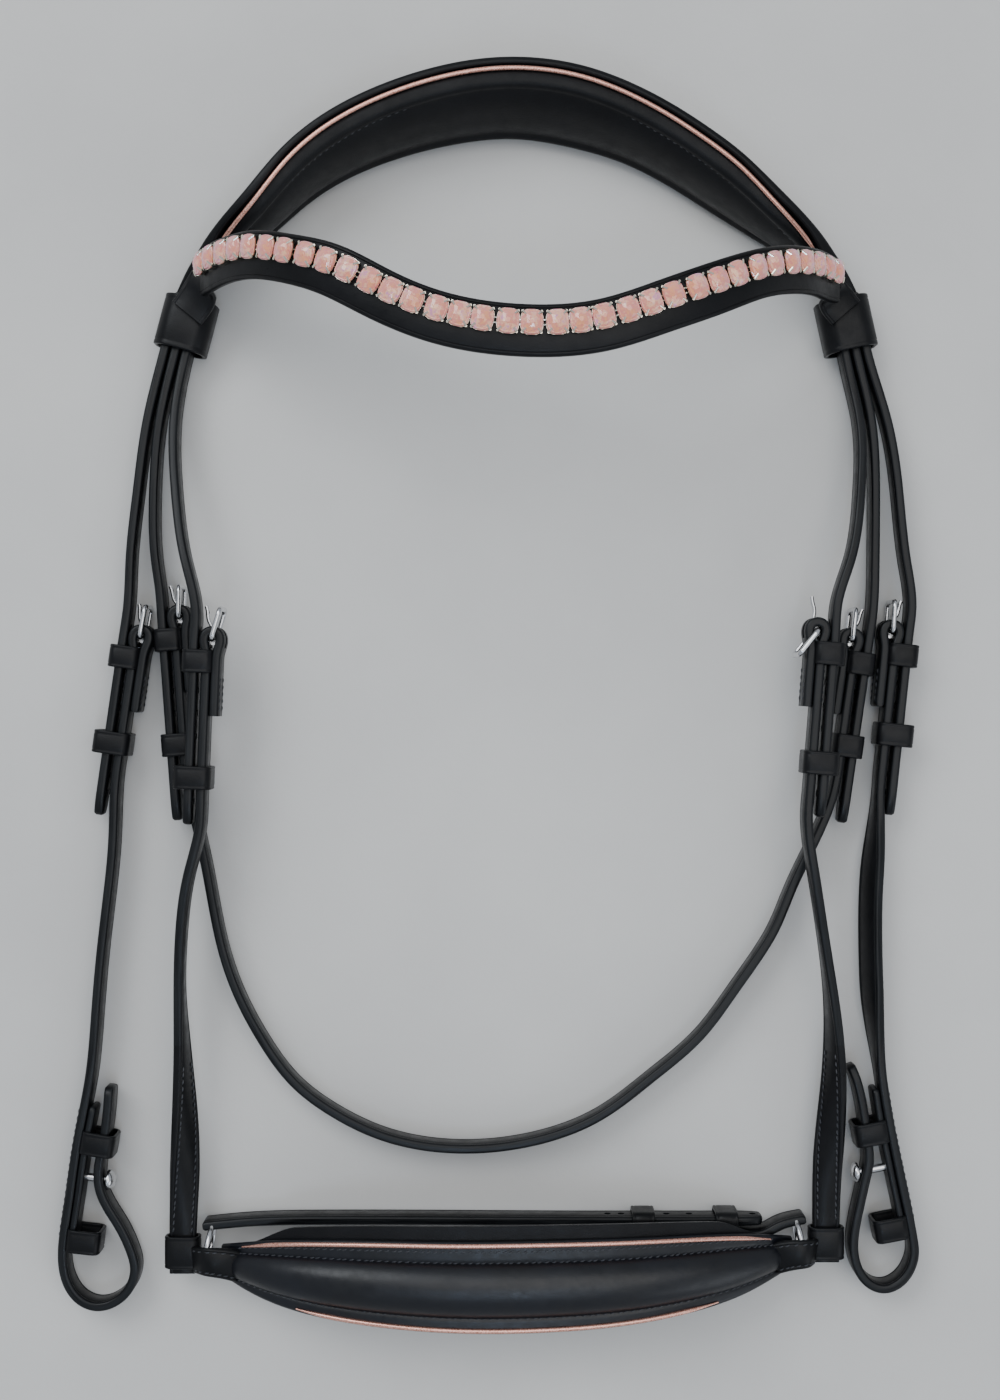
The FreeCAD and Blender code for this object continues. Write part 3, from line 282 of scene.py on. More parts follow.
def strap_section(width, thick, crease=1.9, radius=1.2, dent=0.28):
    """Rounded strap section as (a, b) points; both flats carry a creased line near each edge."""
    w, t = width / 2, thick / 2
    radius = min(radius, t * 0.8)
    corner = [(0.0, t)]
    if crease:
        corner += [(w - crease - 0.45, t), (w - crease, t - dent), (w - crease + 0.45, t)]
    for k in range(6):
        turn = math.radians(90 - 18 * k)
        corner.append((w - radius + radius * math.cos(turn), t - radius + radius * math.sin(turn)))
    back = corner[::-1]
    return (corner + [(a, -b) for a, b in back] + [(-a, -b) for a, b in corner[1:]]
            + [(-a, b) for a, b in back[:-1]])


def round_section(radius, count=14):
    """A round section as (a, b) points."""
    return [(radius * math.cos(2 * math.pi * k / count), radius * math.sin(2 * math.pi * k / count))
            for k in range(count)]


def build(name, verts, faces, uvs=None):
    """A mesh object in the row frame from millimetre points."""
    name = "visual_" + name.replace(" ", "_")
    mesh = bpy.data.meshes.new(name)
    mesh.from_pydata([tuple(v) for v in (np.array(verts) + SHIFT) / 1000], [], faces)
    if uvs is not None:
        layer = mesh.uv_layers.new(name="UVMap")
        loops = np.zeros(len(mesh.loops), int)
        mesh.loops.foreach_get("vertex_index", loops)
        layer.data.foreach_set("uv", np.array(uvs, np.float32)[loops].reshape(-1))
    bm = bmesh.new()
    bm.from_mesh(mesh)
    bmesh.ops.recalc_face_normals(bm, faces=bm.faces)
    bm.to_mesh(mesh)
    bm.free()
    mesh.polygons.foreach_set("use_smooth", [True] * len(mesh.polygons))
    mesh.set_sharp_from_angle(angle=math.radians(50))
    obj = bpy.data.objects.new(name, mesh)
    bpy.context.scene.collection.objects.link(obj)
    return obj


def wrap(rings, around, base=0, closed=False):
    """Quads between neighbouring rings of vertices; closed joins the last ring to the first."""
    faces = []
    for i in range(rings if closed else rings - 1):
        near, far = base + i * around, base + (i + 1) % rings * around
        for k in range(around):
            q = (k + 1) % around
            faces.append((near + k, near + q, far + q, far + k))
    return faces


def lids(rings, around, base):
    """The two end faces of a stack of rings."""
    last = base + (rings - 1) * around
    return [tuple(range(base, base + around))[::-1], tuple(range(last, last + around))]


def carry(name, sweep, section, grow=None):
    """A solid swept along a path. section is one list of (a, b), or a function of the fraction along.
    grow gives (a, b) scales at a fraction along."""
    verts, uvs = [], []
    count = len(sweep.path)
    total = sweep.run[-1]
    for i in range(count):
        f = sweep.run[i] / total
        ring = section(f) if callable(section) else section
        ga, gb = grow(f) if grow else (1, 1)
        around = 0.0
        for k, (a, b) in enumerate(ring):
            if k:
                around += math.hypot(a - ring[k - 1][0], b - ring[k - 1][1])
            verts.append(sweep.path[i] + sweep.wide[i] * a * ga + sweep.out[i] * b * gb)
            uvs.append((sweep.run[i] / 1000, around / 1000))
    m = len(ring)
    faces = wrap(count, m, 0, sweep.closed)
    if not sweep.closed:
        faces += [tuple(range(m)), tuple(range((count - 1) * m, count * m))]
    return build(name, verts, faces, uvs)


def cut(obj, *tools):
    """Takes the tools away from obj and removes them."""
    for tool in tools:
        change = obj.modifiers.new("cut", "BOOLEAN")
        change.operation = "DIFFERENCE"
        change.solver = "EXACT"
        change.object = tool
        bpy.context.view_layer.objects.active = obj
        bpy.ops.object.modifier_apply(modifier=change.name)
        bpy.data.objects.remove(tool)
    obj.data.polygons.foreach_set("use_smooth", [True] * len(obj.data.polygons))
    obj.data.set_sharp_from_angle(angle=math.radians(40))


def bar_solid(name, middle, x_dir, y_dir, half_x, half_y, half_z, count=0):
    """A plain box, or a round bar when count is given, used only as a cutting tool."""
    z_dir = np.cross(x_dir, y_dir)
    if count:
        ring = [(half_x * math.cos(2 * math.pi * k / count), half_y * math.sin(2 * math.pi * k / count))
                for k in range(count)]
    else:
        ring = [(-half_x, -half_y), (half_x, -half_y), (half_x, half_y), (-half_x, half_y)]
    verts = [middle + x_dir * a + y_dir * b + z_dir * c for c in (-half_z, half_z) for a, b in ring]
    m = len(ring)
    return build(name, verts, wrap(2, m) + lids(2, m, 0))


def join(name, parts):
    """One object made of several."""
    with bpy.context.temp_override(active_object=parts[0], selected_editable_objects=parts):
        bpy.ops.object.join()
    parts[0].name = "visual_" + name.replace(" ", "_")
    return parts[0]


# ------------------------------------------------------------------ materials


def material(name, base, rough, metal=0.0):
    """A principled material with its nodes, links and shader."""
    mat = bpy.data.materials.new(name)
    mat.use_nodes = True
    shader = mat.node_tree.nodes["Principled BSDF"]
    shader.inputs["Base Color"].default_value = (*base, 1)
    shader.inputs["Roughness"].default_value = rough
    shader.inputs["Metallic"].default_value = metal
    return mat, mat.node_tree.nodes, mat.node_tree.links, shader


def noise(nodes, links, scale, detail=4.0, rough=0.55, coords="Object", stretch=None):
    """Cloudy noise; scale is in cells per metre, and stretch gives a scale for each direction."""
    source = nodes.new("ShaderNodeTexCoord").outputs[coords]
    if stretch:
        mapping = nodes.new("ShaderNodeMapping")
        mapping.inputs["Scale"].default_value = stretch
        links.new(source, mapping.inputs["Vector"])
        source = mapping.outputs["Vector"]
    tex = nodes.new("ShaderNodeTexNoise")
    tex.inputs["Scale"].default_value = scale
    tex.inputs["Detail"].default_value = detail
    tex.inputs["Roughness"].default_value = rough
    links.new(source, tex.inputs["Vector"])
    return tex.outputs["Fac"]


def spread(nodes, links, value, low, high, start=0.3, end=0.7):
    """A noise value stretched to a range."""
    remap = nodes.new("ShaderNodeMapRange")
    remap.inputs["From Min"].default_value = start
    remap.inputs["From Max"].default_value = end
    remap.inputs["To Min"].default_value = low
    remap.inputs["To Max"].default_value = high
    links.new(value, remap.inputs["Value"])
    return remap.outputs["Result"]


def blend_colors(nodes, links, value, first, second, start=0.35, end=0.65):
    """Two colours blended by a noise value."""
    ramp = nodes.new("ShaderNodeValToRGB")
    ramp.color_ramp.elements[0].position = start
    ramp.color_ramp.elements[0].color = (*first, 1)
    ramp.color_ramp.elements[1].position = end
    ramp.color_ramp.elements[1].color = (*second, 1)
    links.new(value, ramp.inputs["Fac"])
    return ramp.outputs["Color"]


def bump(nodes, links, shader, height, strength, distance, before=None):
    """Surface relief from a height, laid over an earlier relief when given."""
    node = nodes.new("ShaderNodeBump")
    node.inputs["Strength"].default_value = strength
    node.inputs["Distance"].default_value = distance
    links.new(height, node.inputs["Height"])
    if before:
        links.new(before, node.inputs["Normal"])
    links.new(node.outputs["Normal"], shader.inputs["Normal"])
    return node.outputs["Normal"]


def pebble(nodes, links, scale):
    """Fine leather grain: rounded cells with thin valleys."""
    source = nodes.new("ShaderNodeTexCoord").outputs["Object"]
    cells = nodes.new("ShaderNodeTexVoronoi")
    cells.feature = "DISTANCE_TO_EDGE"
    cells.inputs["Scale"].default_value = scale
    links.new(source, cells.inputs["Vector"])
    return spread(nodes, links, cells.outputs["Distance"], 0, 1, 0.0, 0.25)


def leather(name, dark, light, rough, grain, strength, shine, coat=0.0, sheen=0.0):
    """Dyed leather: pebbled grain, clouded colour and uneven gloss."""
    mat, nodes, links, shader = material(name, dark, rough)
    clouds = noise(nodes, links, 45, 5)
    links.new(blend_colors(nodes, links, clouds, dark, light), shader.inputs["Base Color"])
    scuffs = noise(nodes, links, 160, 6, 0.7)
    links.new(spread(nodes, links, scuffs, rough - 0.09, rough + 0.12), shader.inputs["Roughness"])
    shader.inputs["Specular IOR Level"].default_value = shine
    shader.inputs["Coat Weight"].default_value = coat
    shader.inputs["Coat Roughness"].default_value = 0.3
    shader.inputs["Sheen Weight"].default_value = sheen
    shader.inputs["Sheen Roughness"].default_value = 0.4
    first = bump(nodes, links, shader, pebble(nodes, links, grain), strength, 0.00012)
    bump(nodes, links, shader, noise(nodes, links, 260, 5), 0.25, 0.0004, first)
    return mat


def edge_finish(name):
    """Burnished strap edge: waxed, a little lighter, streaked along the strap."""
    mat, nodes, links, shader = material(name, (0.02, 0.022, 0.025), 0.3)
    streaks = noise(nodes, links, 300, 4, 0.6, "UV", (0.12, 3.0, 1.0))
    links.new(blend_colors(nodes, links, streaks, (0.0036, 0.004, 0.005), (0.0105, 0.012, 0.0135)),
              shader.inputs["Base Color"])
    links.new(spread(nodes, links, streaks, 0.24, 0.42), shader.inputs["Roughness"])
    shader.inputs["Specular IOR Level"].default_value = 0.25
    first = bump(nodes, links, shader, streaks, 0.25, 0.0002)
    bump(nodes, links, shader, noise(nodes, links, 900, 3), 0.15, 0.0001, first)
    return mat


def polished(name, color, rough):
    """Polished metal with a slight haze of wear."""
    mat, nodes, links, shader = material(name, color, rough, 1.0)
    haze = noise(nodes, links, 220, 5, 0.65)
    links.new(spread(nodes, links, haze, rough - 0.05, rough + 0.1), shader.inputs["Roughness"])
    links.new(blend_colors(nodes, links, haze, color, tuple(c * 0.86 for c in color)),
              shader.inputs["Base Color"])
    bump(nodes, links, shader, noise(nodes, links, 1500, 3), 0.06, 0.0001)
    return mat


STRAP = leather(
    "strap leather", (0.0028, 0.0029, 0.0036), (0.0058, 0.006, 0.0072), 0.36, 1500, 0.16, 0.2, 0.03)
EDGE = edge_finish("strap edge")
LINING = leather(
    "padding leather", (0.0026, 0.0028, 0.0036), (0.0054, 0.0057, 0.007), 0.42, 1100, 0.3, 0.2, 0.02, 0.01)
SMOOTH = leather(
    "glazed leather", (0.0022, 0.0026, 0.0042), (0.0038, 0.0048, 0.0085), 0.36, 1300, 0.04, 0.42, 0.05)
STEEL = polished("steel", (0.72, 0.72, 0.73), 0.16)
SETTING = polished("setting metal", (0.95, 0.86, 0.72), 0.14)


def thread_finish():
    """Waxed thread with a fine twist."""
    mat, nodes, links, shader = material("thread", (0.012, 0.014, 0.018), 0.42)
    twist = noise(nodes, links, 2600, 3)
    links.new(blend_colors(nodes, links, twist, (0.008, 0.009, 0.013), (0.03, 0.034, 0.044)),
              shader.inputs["Base Color"])
    shader.inputs["Sheen Weight"].default_value = 0.2
    bump(nodes, links, shader, twist, 0.4, 0.0002)
    return mat


def piping_finish():
    """Rose metallic leather over a cord, lightly crushed."""
    mat, nodes, links, shader = material("rose piping", (0.82, 0.43, 0.34), 0.27, 0.85)
    crush = noise(nodes, links, 1400, 5, 0.6)
    links.new(blend_colors(nodes, links, crush, (0.66, 0.29, 0.21), (0.92, 0.54, 0.44)),
              shader.inputs["Base Color"])
    links.new(spread(nodes, links, crush, 0.2, 0.4), shader.inputs["Roughness"])
    bump(nodes, links, shader, crush, 0.25, 0.0002)
    return mat


def stone_finish():
    """Faceted foil-backed glass: clouded peach and pink with cream, lilac and yellow patches; facets that
    turn away from the camera get a painted shade of darker pink.
    """
    mat, nodes, links, shader = material("stones", (0.95, 0.6, 0.5), 0.06)
    cloud = noise(nodes, links, 170, 4, 0.7)
    ramp = nodes.new("ShaderNodeValToRGB")
    colors = [(0.30, (0.74, 0.17, 0.17)), (0.41, (0.93, 0.39, 0.17)), (0.49, (0.83, 0.26, 0.21)),
              (0.57, (1.0, 0.56, 0.31)), (0.66, (0.72, 0.26, 0.50)), (0.76, (1.0, 0.76, 0.36))]
    ramp.color_ramp.elements[0].position = colors[0][0]
    ramp.color_ramp.elements[0].color = (*colors[0][1], 1)
    ramp.color_ramp.elements[1].position = colors[-1][0]
    ramp.color_ramp.elements[1].color = (*colors[-1][1], 1)
    for position, color in colors[1:-1]:
        ramp.color_ramp.elements.new(position).color = (*color, 1)
    links.new(cloud, ramp.inputs["Fac"])
    # painted shade: a darker pink is mixed in as facets turn away from the camera, so the steep facets
    # read darker
    steep_facet_shade = nodes.new("ShaderNodeLayerWeight")
    steep_facet_shade.inputs["Blend"].default_value = 0.35
    mix = nodes.new("ShaderNodeMix")
    mix.data_type = "RGBA"
    mix.inputs[7].default_value = (0.86, 0.42, 0.62, 1)
    links.new(steep_facet_shade.outputs["Facing"], mix.inputs["Factor"])
    links.new(ramp.outputs["Color"], mix.inputs[6])
    links.new(mix.outputs[2], shader.inputs["Base Color"])
    shader.inputs["Coat Weight"].default_value = 1.0
    shader.inputs["Coat Roughness"].default_value = 0.02
    shader.inputs["Specular IOR Level"].default_value = 0.6
    bump(nodes, links, shader, noise(nodes, links, 500, 2), 0.06, 0.0002)
    return mat


THREAD, PIPING, STONE = thread_finish(), piping_finish(), stone_finish()


def paint(obj, mat, edge=None, sides=None):
    """Gives obj its material; faces that sides(normal, middle) picks take the edge material."""
    obj.data.materials.clear()
    obj.data.materials.append(mat)
    if edge:
        obj.data.materials.append(edge)
        obj.data.polygons.foreach_set(
            "material_index", [1 if sides(face) else 0 for face in obj.data.polygons])
    return obj


def level_faces(face):
    """Picks the faces that look up or down: the cut edges of a strap that stands on edge."""
    return abs(face.normal.z) > 0.6


def stitches(name, spots, length, radius, slant=0.0):
    """Slanted thread dashes. spots are (point, along, across, out); the dash lies half sunk in."""
    verts, faces = [], []
    rings, around = 5, 6
    for point, along, across, out in spots:
        line = unit(along + across * slant)
        side = np.cross(out, line)
        base = len(verts)
        for i in range(rings):
            f = i / (rings - 1) * 2 - 1
            r = radius * math.sqrt(max(0.06, 1 - f * f * 0.92))
            rise = radius * 0.45 * (1 - f * f) - radius * 0.2
            for k in range(around):
                turn = 2 * math.pi * k / around
                verts.append(point + line * f * length / 2 + side * r * math.cos(turn)
                             + out * (r * math.sin(turn) + rise))
        faces += wrap(rings, around, base) + lids(rings, around, base)
    return paint(build(name, verts, faces), THREAD)


def done(obj, body, slot, *nodes):
    """The piece rides on its body and stands for its solids."""
    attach(obj, body)
    if nodes:
        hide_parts(*nodes)
    return obj


# ------------------------------------------------------------------ straps on edge


def finish_strap(obj, body, node, *tools):
    """Cuts a strap's slots and holes, gives it its edges and puts it on its body."""
    cut(obj, *tools)
    paint(obj, STRAP, EDGE, level_faces)
    done(obj, body, "bridle_leather", node)


def fold_path(place, end=62.0):
    """Middle line of a folded buckle end, from the tip of its back layer to the front layer."""
    layer = [(0, 3.5), (3, 3.1), (6, 2.4), (9, 2.15), (14, 2.1), (24, 2.1)]
    marks = [(33, -2.1)] + [(u, -v) for u, v in layer[::-1]] + [(-2.6, -2.55), (-3.6, 0), (-2.6, 2.55)]
    marks += layer + [(u, 2.1) for u in np.arange(33, end - 6, 9)] + [(end, 2.1)]
    return [tuple(place.at(u, v)[:2]) for u, v in marks]


def tongue_slot(place):
    """The cutting tool for the slot that the buckle tongue passes through."""
    middle = place.at(-2.7, -1.9, place.level + WIDTH / 2)
    return bar_solid("slot", middle, place.down(), place.across(), 6.3, 7.1, 2.2)


def tip_grow(total, ends, length=11.0, narrow=0.42):
    """Width and thickness along a strap whose given ends ('start', 'finish') come to a rounded point."""
    def grow(f):
        a = b = 1.0
        for mark, gap in (("start", f * total), ("finish", (1 - f) * total)):
            if mark in ends and gap < length:
                g = gap / length
                a = min(a, narrow + (1 - narrow) * math.sqrt(max(0.0, 1 - (1 - g) ** 2)))
            if gap < 1.2:
                b = min(b, 0.62 + 0.38 * math.sqrt(max(0.0, 1 - (1 - gap / 1.2) ** 2)))
        return a, b
    return grow


def upright(name, points, height, width=WIDTH, thick=THICK, ends=(), length=11.0, lean=None):
    """A strap on edge along a plan path."""
    path = spline([(x, y) for x, y in points])
    sweep = on_edge(path, height, lean)
    obj = carry(name, sweep, strap_section(width, thick), tip_grow(sweep.run[-1], ends, length))
    return obj, sweep


def edge_stitches(name, sweep, offset, rows, first, last, face):
    """Rows of stitches on one face of a strap on edge, between two lengths along it."""
    spots = []
    for a in rows:
        for d in np.arange(first, last, STITCH):
            point, along, wide, out = sweep.point(d, a, 0)
            spots.append((point + out * offset * face, along, wide, out * face))
    return stitches(name, spots, 2.2, 0.34, 0.18)


def band(name, place, u0, u1, v0, v1, z0, z1, wall=WALL, bulge=0.5, crease=1.4, corner=2.2):
    """A leather loop round a strap: inner faces v0..v1 and z0..z1, lying from u0 to u1."""
    vm, zm = (v0 + v1) / 2, (z0 + z1) / 2
    hv, hz = (v1 - v0) / 2 + wall / 2, (z1 - z0) / 2 + wall / 2
    ring = []
    for sv, sz, first in ((1, 1, 0), (-1, 1, 90), (-1, -1, 180), (1, -1, 270)):
        for k in range(7):
            turn = math.radians(first + 15 * k)
            v = sv * (hv - corner) + corner * math.cos(turn)
            z = sz * (hz - corner) + corner * math.sin(turn)
            ring.append((v, z))
    dense = []
    for i, (v, z) in enumerate(ring):
        w, y = ring[(i + 1) % len(ring)]
        steps = max(1, int(math.hypot(w - v, y - z) / 1.2))
        dense += [(v + (w - v) * k / steps, z + (y - z) * k / steps) for k in range(steps)]
    middle = place.at((u0 + u1) / 2, vm, zm)
    path = np.array([middle + place.across() * v + UP * z for v, z in dense])
    along = tangents(path, True)
    wide = np.array([place.down()] * len(path))
    out = np.cross(along, wide)
    away = path - middle
    if np.sum(np.einsum("ij,ij->i", out, away)) < 0:
        out = -out
    for i in range(len(path)):
        v, z = dense[i]
        puff = bulge * max(0.0, 1 - min(abs(v) / hv, abs(z) / hz) ** 2)
        path[i] = path[i] + out[i] * puff * 0.5
    sweep = Sweep(path, wide, out, True)
    obj = carry(name, sweep, strap_section(u1 - u0, wall, crease, 0.7, 0.16))
    down = Vector(place.down())
    return paint(obj, STRAP, EDGE, lambda face: abs(face.normal.dot(down)) > 0.75)


def lean_right(point):
    """The right cheekpiece lies over a little between its buckle and its bit loop."""
    y = point[1]
    return -30 * soft((-38 - y) / 40) * soft((y + 168) / 45) if point[0] > 161 else 0


for name, node in frame["nodes"].items():
    if name.split("_")[0] in ("frame", "tongue") or name.startswith(("hook_stud", "noseband_ring")):
        paint(node, STEEL)

def cheekpiece(side):
    """Cheek strap from its buckle fold round the bit loop, with the loop's lining and two keepers."""
    body = "cheek_" + side
    place = BUCKLES[body]
    strap, sweep = upright("cheekpiece " + side, fold_path(place) + CHEEKS[side], LOW + WIDTH / 2,
                           ends=("finish",), length=4.0 if side == "left" else 8.0,
                           lean=lean_right if side == "right" else None)
    stud = STUDS[side]
    hole = bar_solid("stud hole", stud.at(0, 6, LOW + WIDTH / 2), stud.down(), UP, 2.0, 2.0, 11.0, 16)
    finish_strap(strap, body, "cheekpiece_" + side, tongue_slot(place), hole)
    high, low = INNER_SPAN[side]
    inside = [i for i, p in enumerate(sweep.path) if low < p[1] < high and i < len(sweep.path) * 0.68]
    inward = -1 if side == "left" else 1
    path = sweep.path[inside] + sweep.out[inside] * inward * 3.75
    lining = on_edge(path, LOW + WIDTH / 2)
    layer = carry("bit loop lining " + side, lining, strap_section(WIDTH - 0.5, 3.1, 0),
                  tip_grow(lining.run[-1], ("start",), 3.0, 0.8))
    paint(layer, LINING, EDGE, level_faces)
    done(layer, body, "bridle_leather")
    first, last = sweep.run[inside[0]] + 3, sweep.run[inside[-1]] - 2
    rows = edge_stitches("bit loop stitches " + side, sweep, 2.0, (-4.4, 4.4), first, last, -inward)
    done(rows, body, "bridle_leather")
    loops = [band("bit keeper", spot, -5, 5, 2.9, 14.6, LOW, LOW + WIDTH) for spot in BIT_KEEPERS[side]]
    done(join("bit keepers " + side, loops), body, "bridle_leather", "bit_keepers_" + side)


def throatlash():
    """The strap under the throat, folded round a buckle at each end."""
    left, right = BUCKLES["throat_left"], BUCKLES["throat_right"]
    points = fold_path(left, 64) + THROATLASH + fold_path(right, 64)[::-1]
    strap = upright("throatlash", points, LOW + WIDTH / 2)[0]
    finish_strap(strap, "headstall", "throatlash_strap", tongue_slot(left), tongue_slot(right))


def hanger(side):
    """Noseband hanger: on edge at its buckle, and rolled flat where it meets the noseband."""
    place = BUCKLES["nose_" + side]
    points = [(x, y, HIGH + WIDTH / 2, 0) for x, y in fold_path(place, 79)] + HANGERS[side]
    path = spline(points)
    along = tangents(path)
    square = unit(UP - along * (along @ UP)[:, None])
    across = np.cross(along, square)
    roll = np.radians(path[:, 3])[:, None]
    wide = square * np.cos(roll) + across * np.sin(roll)
    sweep = Sweep(path, wide, np.cross(along, wide))
    strap = carry("noseband hanger " + side, sweep, strap_section(WIDTH, THICK),
                  lambda f: (1 - 0.108 * min(1, max(0, (f - 0.86) / 0.1)), 1))
    finish_strap(strap, "headstall", "noseband_hanger_" + side, tongue_slot(place))
    strap.data.polygons.foreach_set("material_index", [
        1 if abs(face.normal.z) > 0.6 and face.center.y > (-150 + SHIFT[1]) / 1000 else 0
        for face in strap.data.polygons])
    spots = []
    total = sweep.run[-1]
    for distance in np.arange(total - 92, total - 17, STITCH):
        for a in STITCH_ROWS:
            point, line, w, out = sweep.point(distance, a * 0.93, 0)
            face = out if out[2] > 0 else -out
            spots.append((point + face * 2.02, line, w, face))
    done(stitches("hanger stitches " + side, spots, 2.2, 0.34, 0.2), "headstall", "bridle_leather")


def holes(place, stations):
    """Cutting tools for the punched holes of a billet."""
    return [bar_solid("hole", place.at(u, BILLET_AT, place.level + WIDTH / 2), place.down(), UP,
                      1.5, 1.5, 4, 14) for u in stations]


def billet(name, upper):
    """A crown billet from the browband loop down through its buckle."""
    strap, side = name.split("_")
    place = BUCKLES[name]
    tip = 89 if name == "throat_left" else 80
    flat = [tuple(place.at(u, BILLET_AT)[:2]) for u in (-12, 0, 15, 30, 50, tip)]
    rise = [LOW] * (len(upper) + 6)
    if strap == "nose":
        rise = [LOW, LOW, LOW, LOW + 3.5, LOW + 10.5, LOW + 17] + [HIGH] * 6
    points = [(x, y, z + WIDTH / 2) for (x, y), z in zip(upper + flat, rise)]
    path = spline(points)
    sweep = on_edge(path, path[:, 2])
    section = strap_section(BILLET, THICK)
    obj = carry("billet " + name, sweep, section, tip_grow(sweep.run[-1], ("finish",)))
    node = "billet_%s_%s" % ({"nose": "noseband"}.get(strap, strap), side)
    punched = holes(place, (-4, 22, 32, 62 if strap == "cheek" else 42, 70))
    finish_strap(obj, "headstall", node, *punched)


def chin_straps():
    """The two halves of the chin strap: the buckle half on the right and the billet half."""
    chin = BUCKLES["chin"]
    points = fold_path(chin) + [(122.0, -231.0), (134.1, -227.9)]
    strap = upright("chin strap buckle side", points, LOW + WIDTH / 2)[0]
    finish_strap(strap, "headstall", "chin_strap_buckle_side", tongue_slot(chin))
    points = [(-130.4, -231.0), (-112.0, -229.2), (-80.0, -228.3), (-20.0, -228.4)]
    points += [tuple(chin.at(u, BILLET_AT)[:2]) for u in (-12, 0, 20, 40, 62)]
    strap = upright("chin strap billet side", points, LOW + WIDTH / 2, BILLET, ends=("finish",))[0]
    finish_strap(strap, "headstall", "chin_strap_billet_side", *holes(chin, (-6, 0, 20, 30, 58)))


def keepers(name, place):
    """The fixed keeper, the runner and the stitches of one buckle."""
    low, high = place.level, place.level + WIDTH
    reach = 11.0 if name.startswith(("cheek", "nose")) else 10.1
    loop = band("keeper " + name, place, 4.6, 14.6, 0.8, reach, low, high)
    done(loop, BODY_OF_BUCKLE[name], "bridle_leather", "keeper_" + name)
    middle = RUNNER_AT[name]
    loop = band("runner " + name, place, middle - 5, middle + 5, -0.3, RUNNER_REACH[name],
                low - 0.3, high + 0.3)
    done(loop, "runner_" + name, "bridle_leather", "runner_" + name)
    spots = []
    for a in STITCH_ROWS:
        for u in np.arange(17.5, 31.5, STITCH):
            for v, way in ((4.12, 1), (-4.12, -1)):
                spots.append((place.at(u, v, place.level + WIDTH / 2 + a), place.down(),
                              UP, place.across() * way))
    rows = stitches("buckle stitches " + name, spots, 2.2, 0.34, 0.18)
    done(rows, BODY_OF_BUCKLE[name], "bridle_leather")


for side in ("left", "right"):
    cheekpiece(side)
throatlash()
for side in ("left", "right"):
    hanger(side)
for name, upper in BILLETS.items():
    billet(name, upper)
chin_straps()
for name, place in BUCKLES.items():
    keepers(name, place)
for side, place in BROW_LOOPS.items():
    loop = band("browband loop " + side, place, -11.5, 11.5, -9, 9, 2.8, 16.6, 2.0, 1.6, 2.2, 5.0)
    done(loop, "headstall", "bridle_leather", "browband_loop_" + side)

# ------------------------------------------------------------------ crown

PAD = [0, 4, 6, 7, 7, 7, 7, 7, 7, 7, 7, 6, 4, 0]
SKIN = [14.2, 5, 4, 3.5, 3.5, 3.5, 3.5, 3.5, 3.5, 3.5, 3.5, 4, 5, 14.2]
INNER = [-7.1] + [p + 0.3 for p in PAD[1:-1]] + [-7.1]
rows = [low + high + (PAD[i], SKIN[i], INNER[i]) for i, (low, high) in enumerate(CROWN)]
path = spline(rows)
along = tangents(path)
along[:, 2] = 0
along = unit(along)
fall = {0: np.array([0.255, 0.967, 0.0]), -1: np.array([0.216, -0.976, 0.0])}
for end, line in fall.items():
    reach = run_of(path) if end == 0 else run_of(path)[-1] - run_of(path)
    weight = np.clip(1 - reach / 14, 0, 1)[:, None]
    along = unit(along * (1 - weight) + line * weight)
up = unit(path[:, 3:6] - path[:, :3])
crown = Sweep(path, up, unit(np.cross(up, along)))
WIDE = np.linalg.norm(path[:, 3:6] - path[:, :3], axis=1)
DEEP, SKINS, FACE = path[:, 6], path[:, 7], path[:, 8]


def at_fraction(values, f):
    """A crown value at a fraction of the crown's length."""
    return float(np.interp(f * crown.run[-1], crown.run, values))


def crown_skin(f):
    """Section of the crown's outer leather."""
    wide, skin, face = at_fraction(WIDE, f), at_fraction(SKINS, f), at_fraction(FACE, f)
    return [(a + wide / 2, b + face + skin / 2) for a, b in strap_section(wide, skin, 2.2, 1.5)]


def ripple(x, y=0.0):
    """A small even unevenness, the same every time."""
    return (math.sin(x * 7.3 + y * 2.1) + math.sin(x * 17.9 + 1.3 - y * 3.7) * 0.6
            + math.sin(x * 41.0 + 2.2 + y * 5.0) * 0.3) / 1.9


def crown_pad(f):
    """Puffed lining: a narrow roll beside the piping, a wide cushion and a roll round the lower edge."""
    distance = f * crown.run[-1]
    wide, deep = at_fraction(WIDE, f), max(1.0, at_fraction(DEEP, f))
    close = soft(min(distance - 19, crown.run[-1] - 19 - distance) / 30)
    top, foot = wide - 3.0, 0.5
    seam, hem = top - 5.5, foot + 6.0
    ring = [(top, deep), (wide / 2, deep), (foot + 0.4, deep)]
    for k in range(36):
        s = k / 35
        a = foot + (top - foot) * s
        edge = min(a - foot, top - a)
        b = deep * 0.75 * (1 - math.sqrt(max(0, 1 - (1 - min(1, edge / (deep * 0.6))) ** 2)))
        puff = 2.6 * (1 + 0.06 * ripple(distance * 0.004, s))
        if hem < a < seam:
            t = (a - hem) / (seam - hem) * 2 - 1
            b -= puff * close * (1 - abs(t) ** 2.6) + 0.3
        elif a >= seam:
            t = (a - seam) / (top - seam) * 2 - 1
            b -= 0.7 * close * (1 - t * t)
        else:
            t = (a - foot) / (hem - foot) * 2 - 1
            b -= 1.3 * close * (1 - t * t)
        ring.append((a, b))
    return ring


def part_of(sweep, first, last):
    """The stretch of a sweep between two lengths along it, and its first and last fraction."""
    keep = (sweep.run >= first) & (sweep.run <= last)
    piece = Sweep(sweep.path[keep], sweep.wide[keep], sweep.out[keep])
    return piece, first / sweep.run[-1], last / sweep.run[-1]


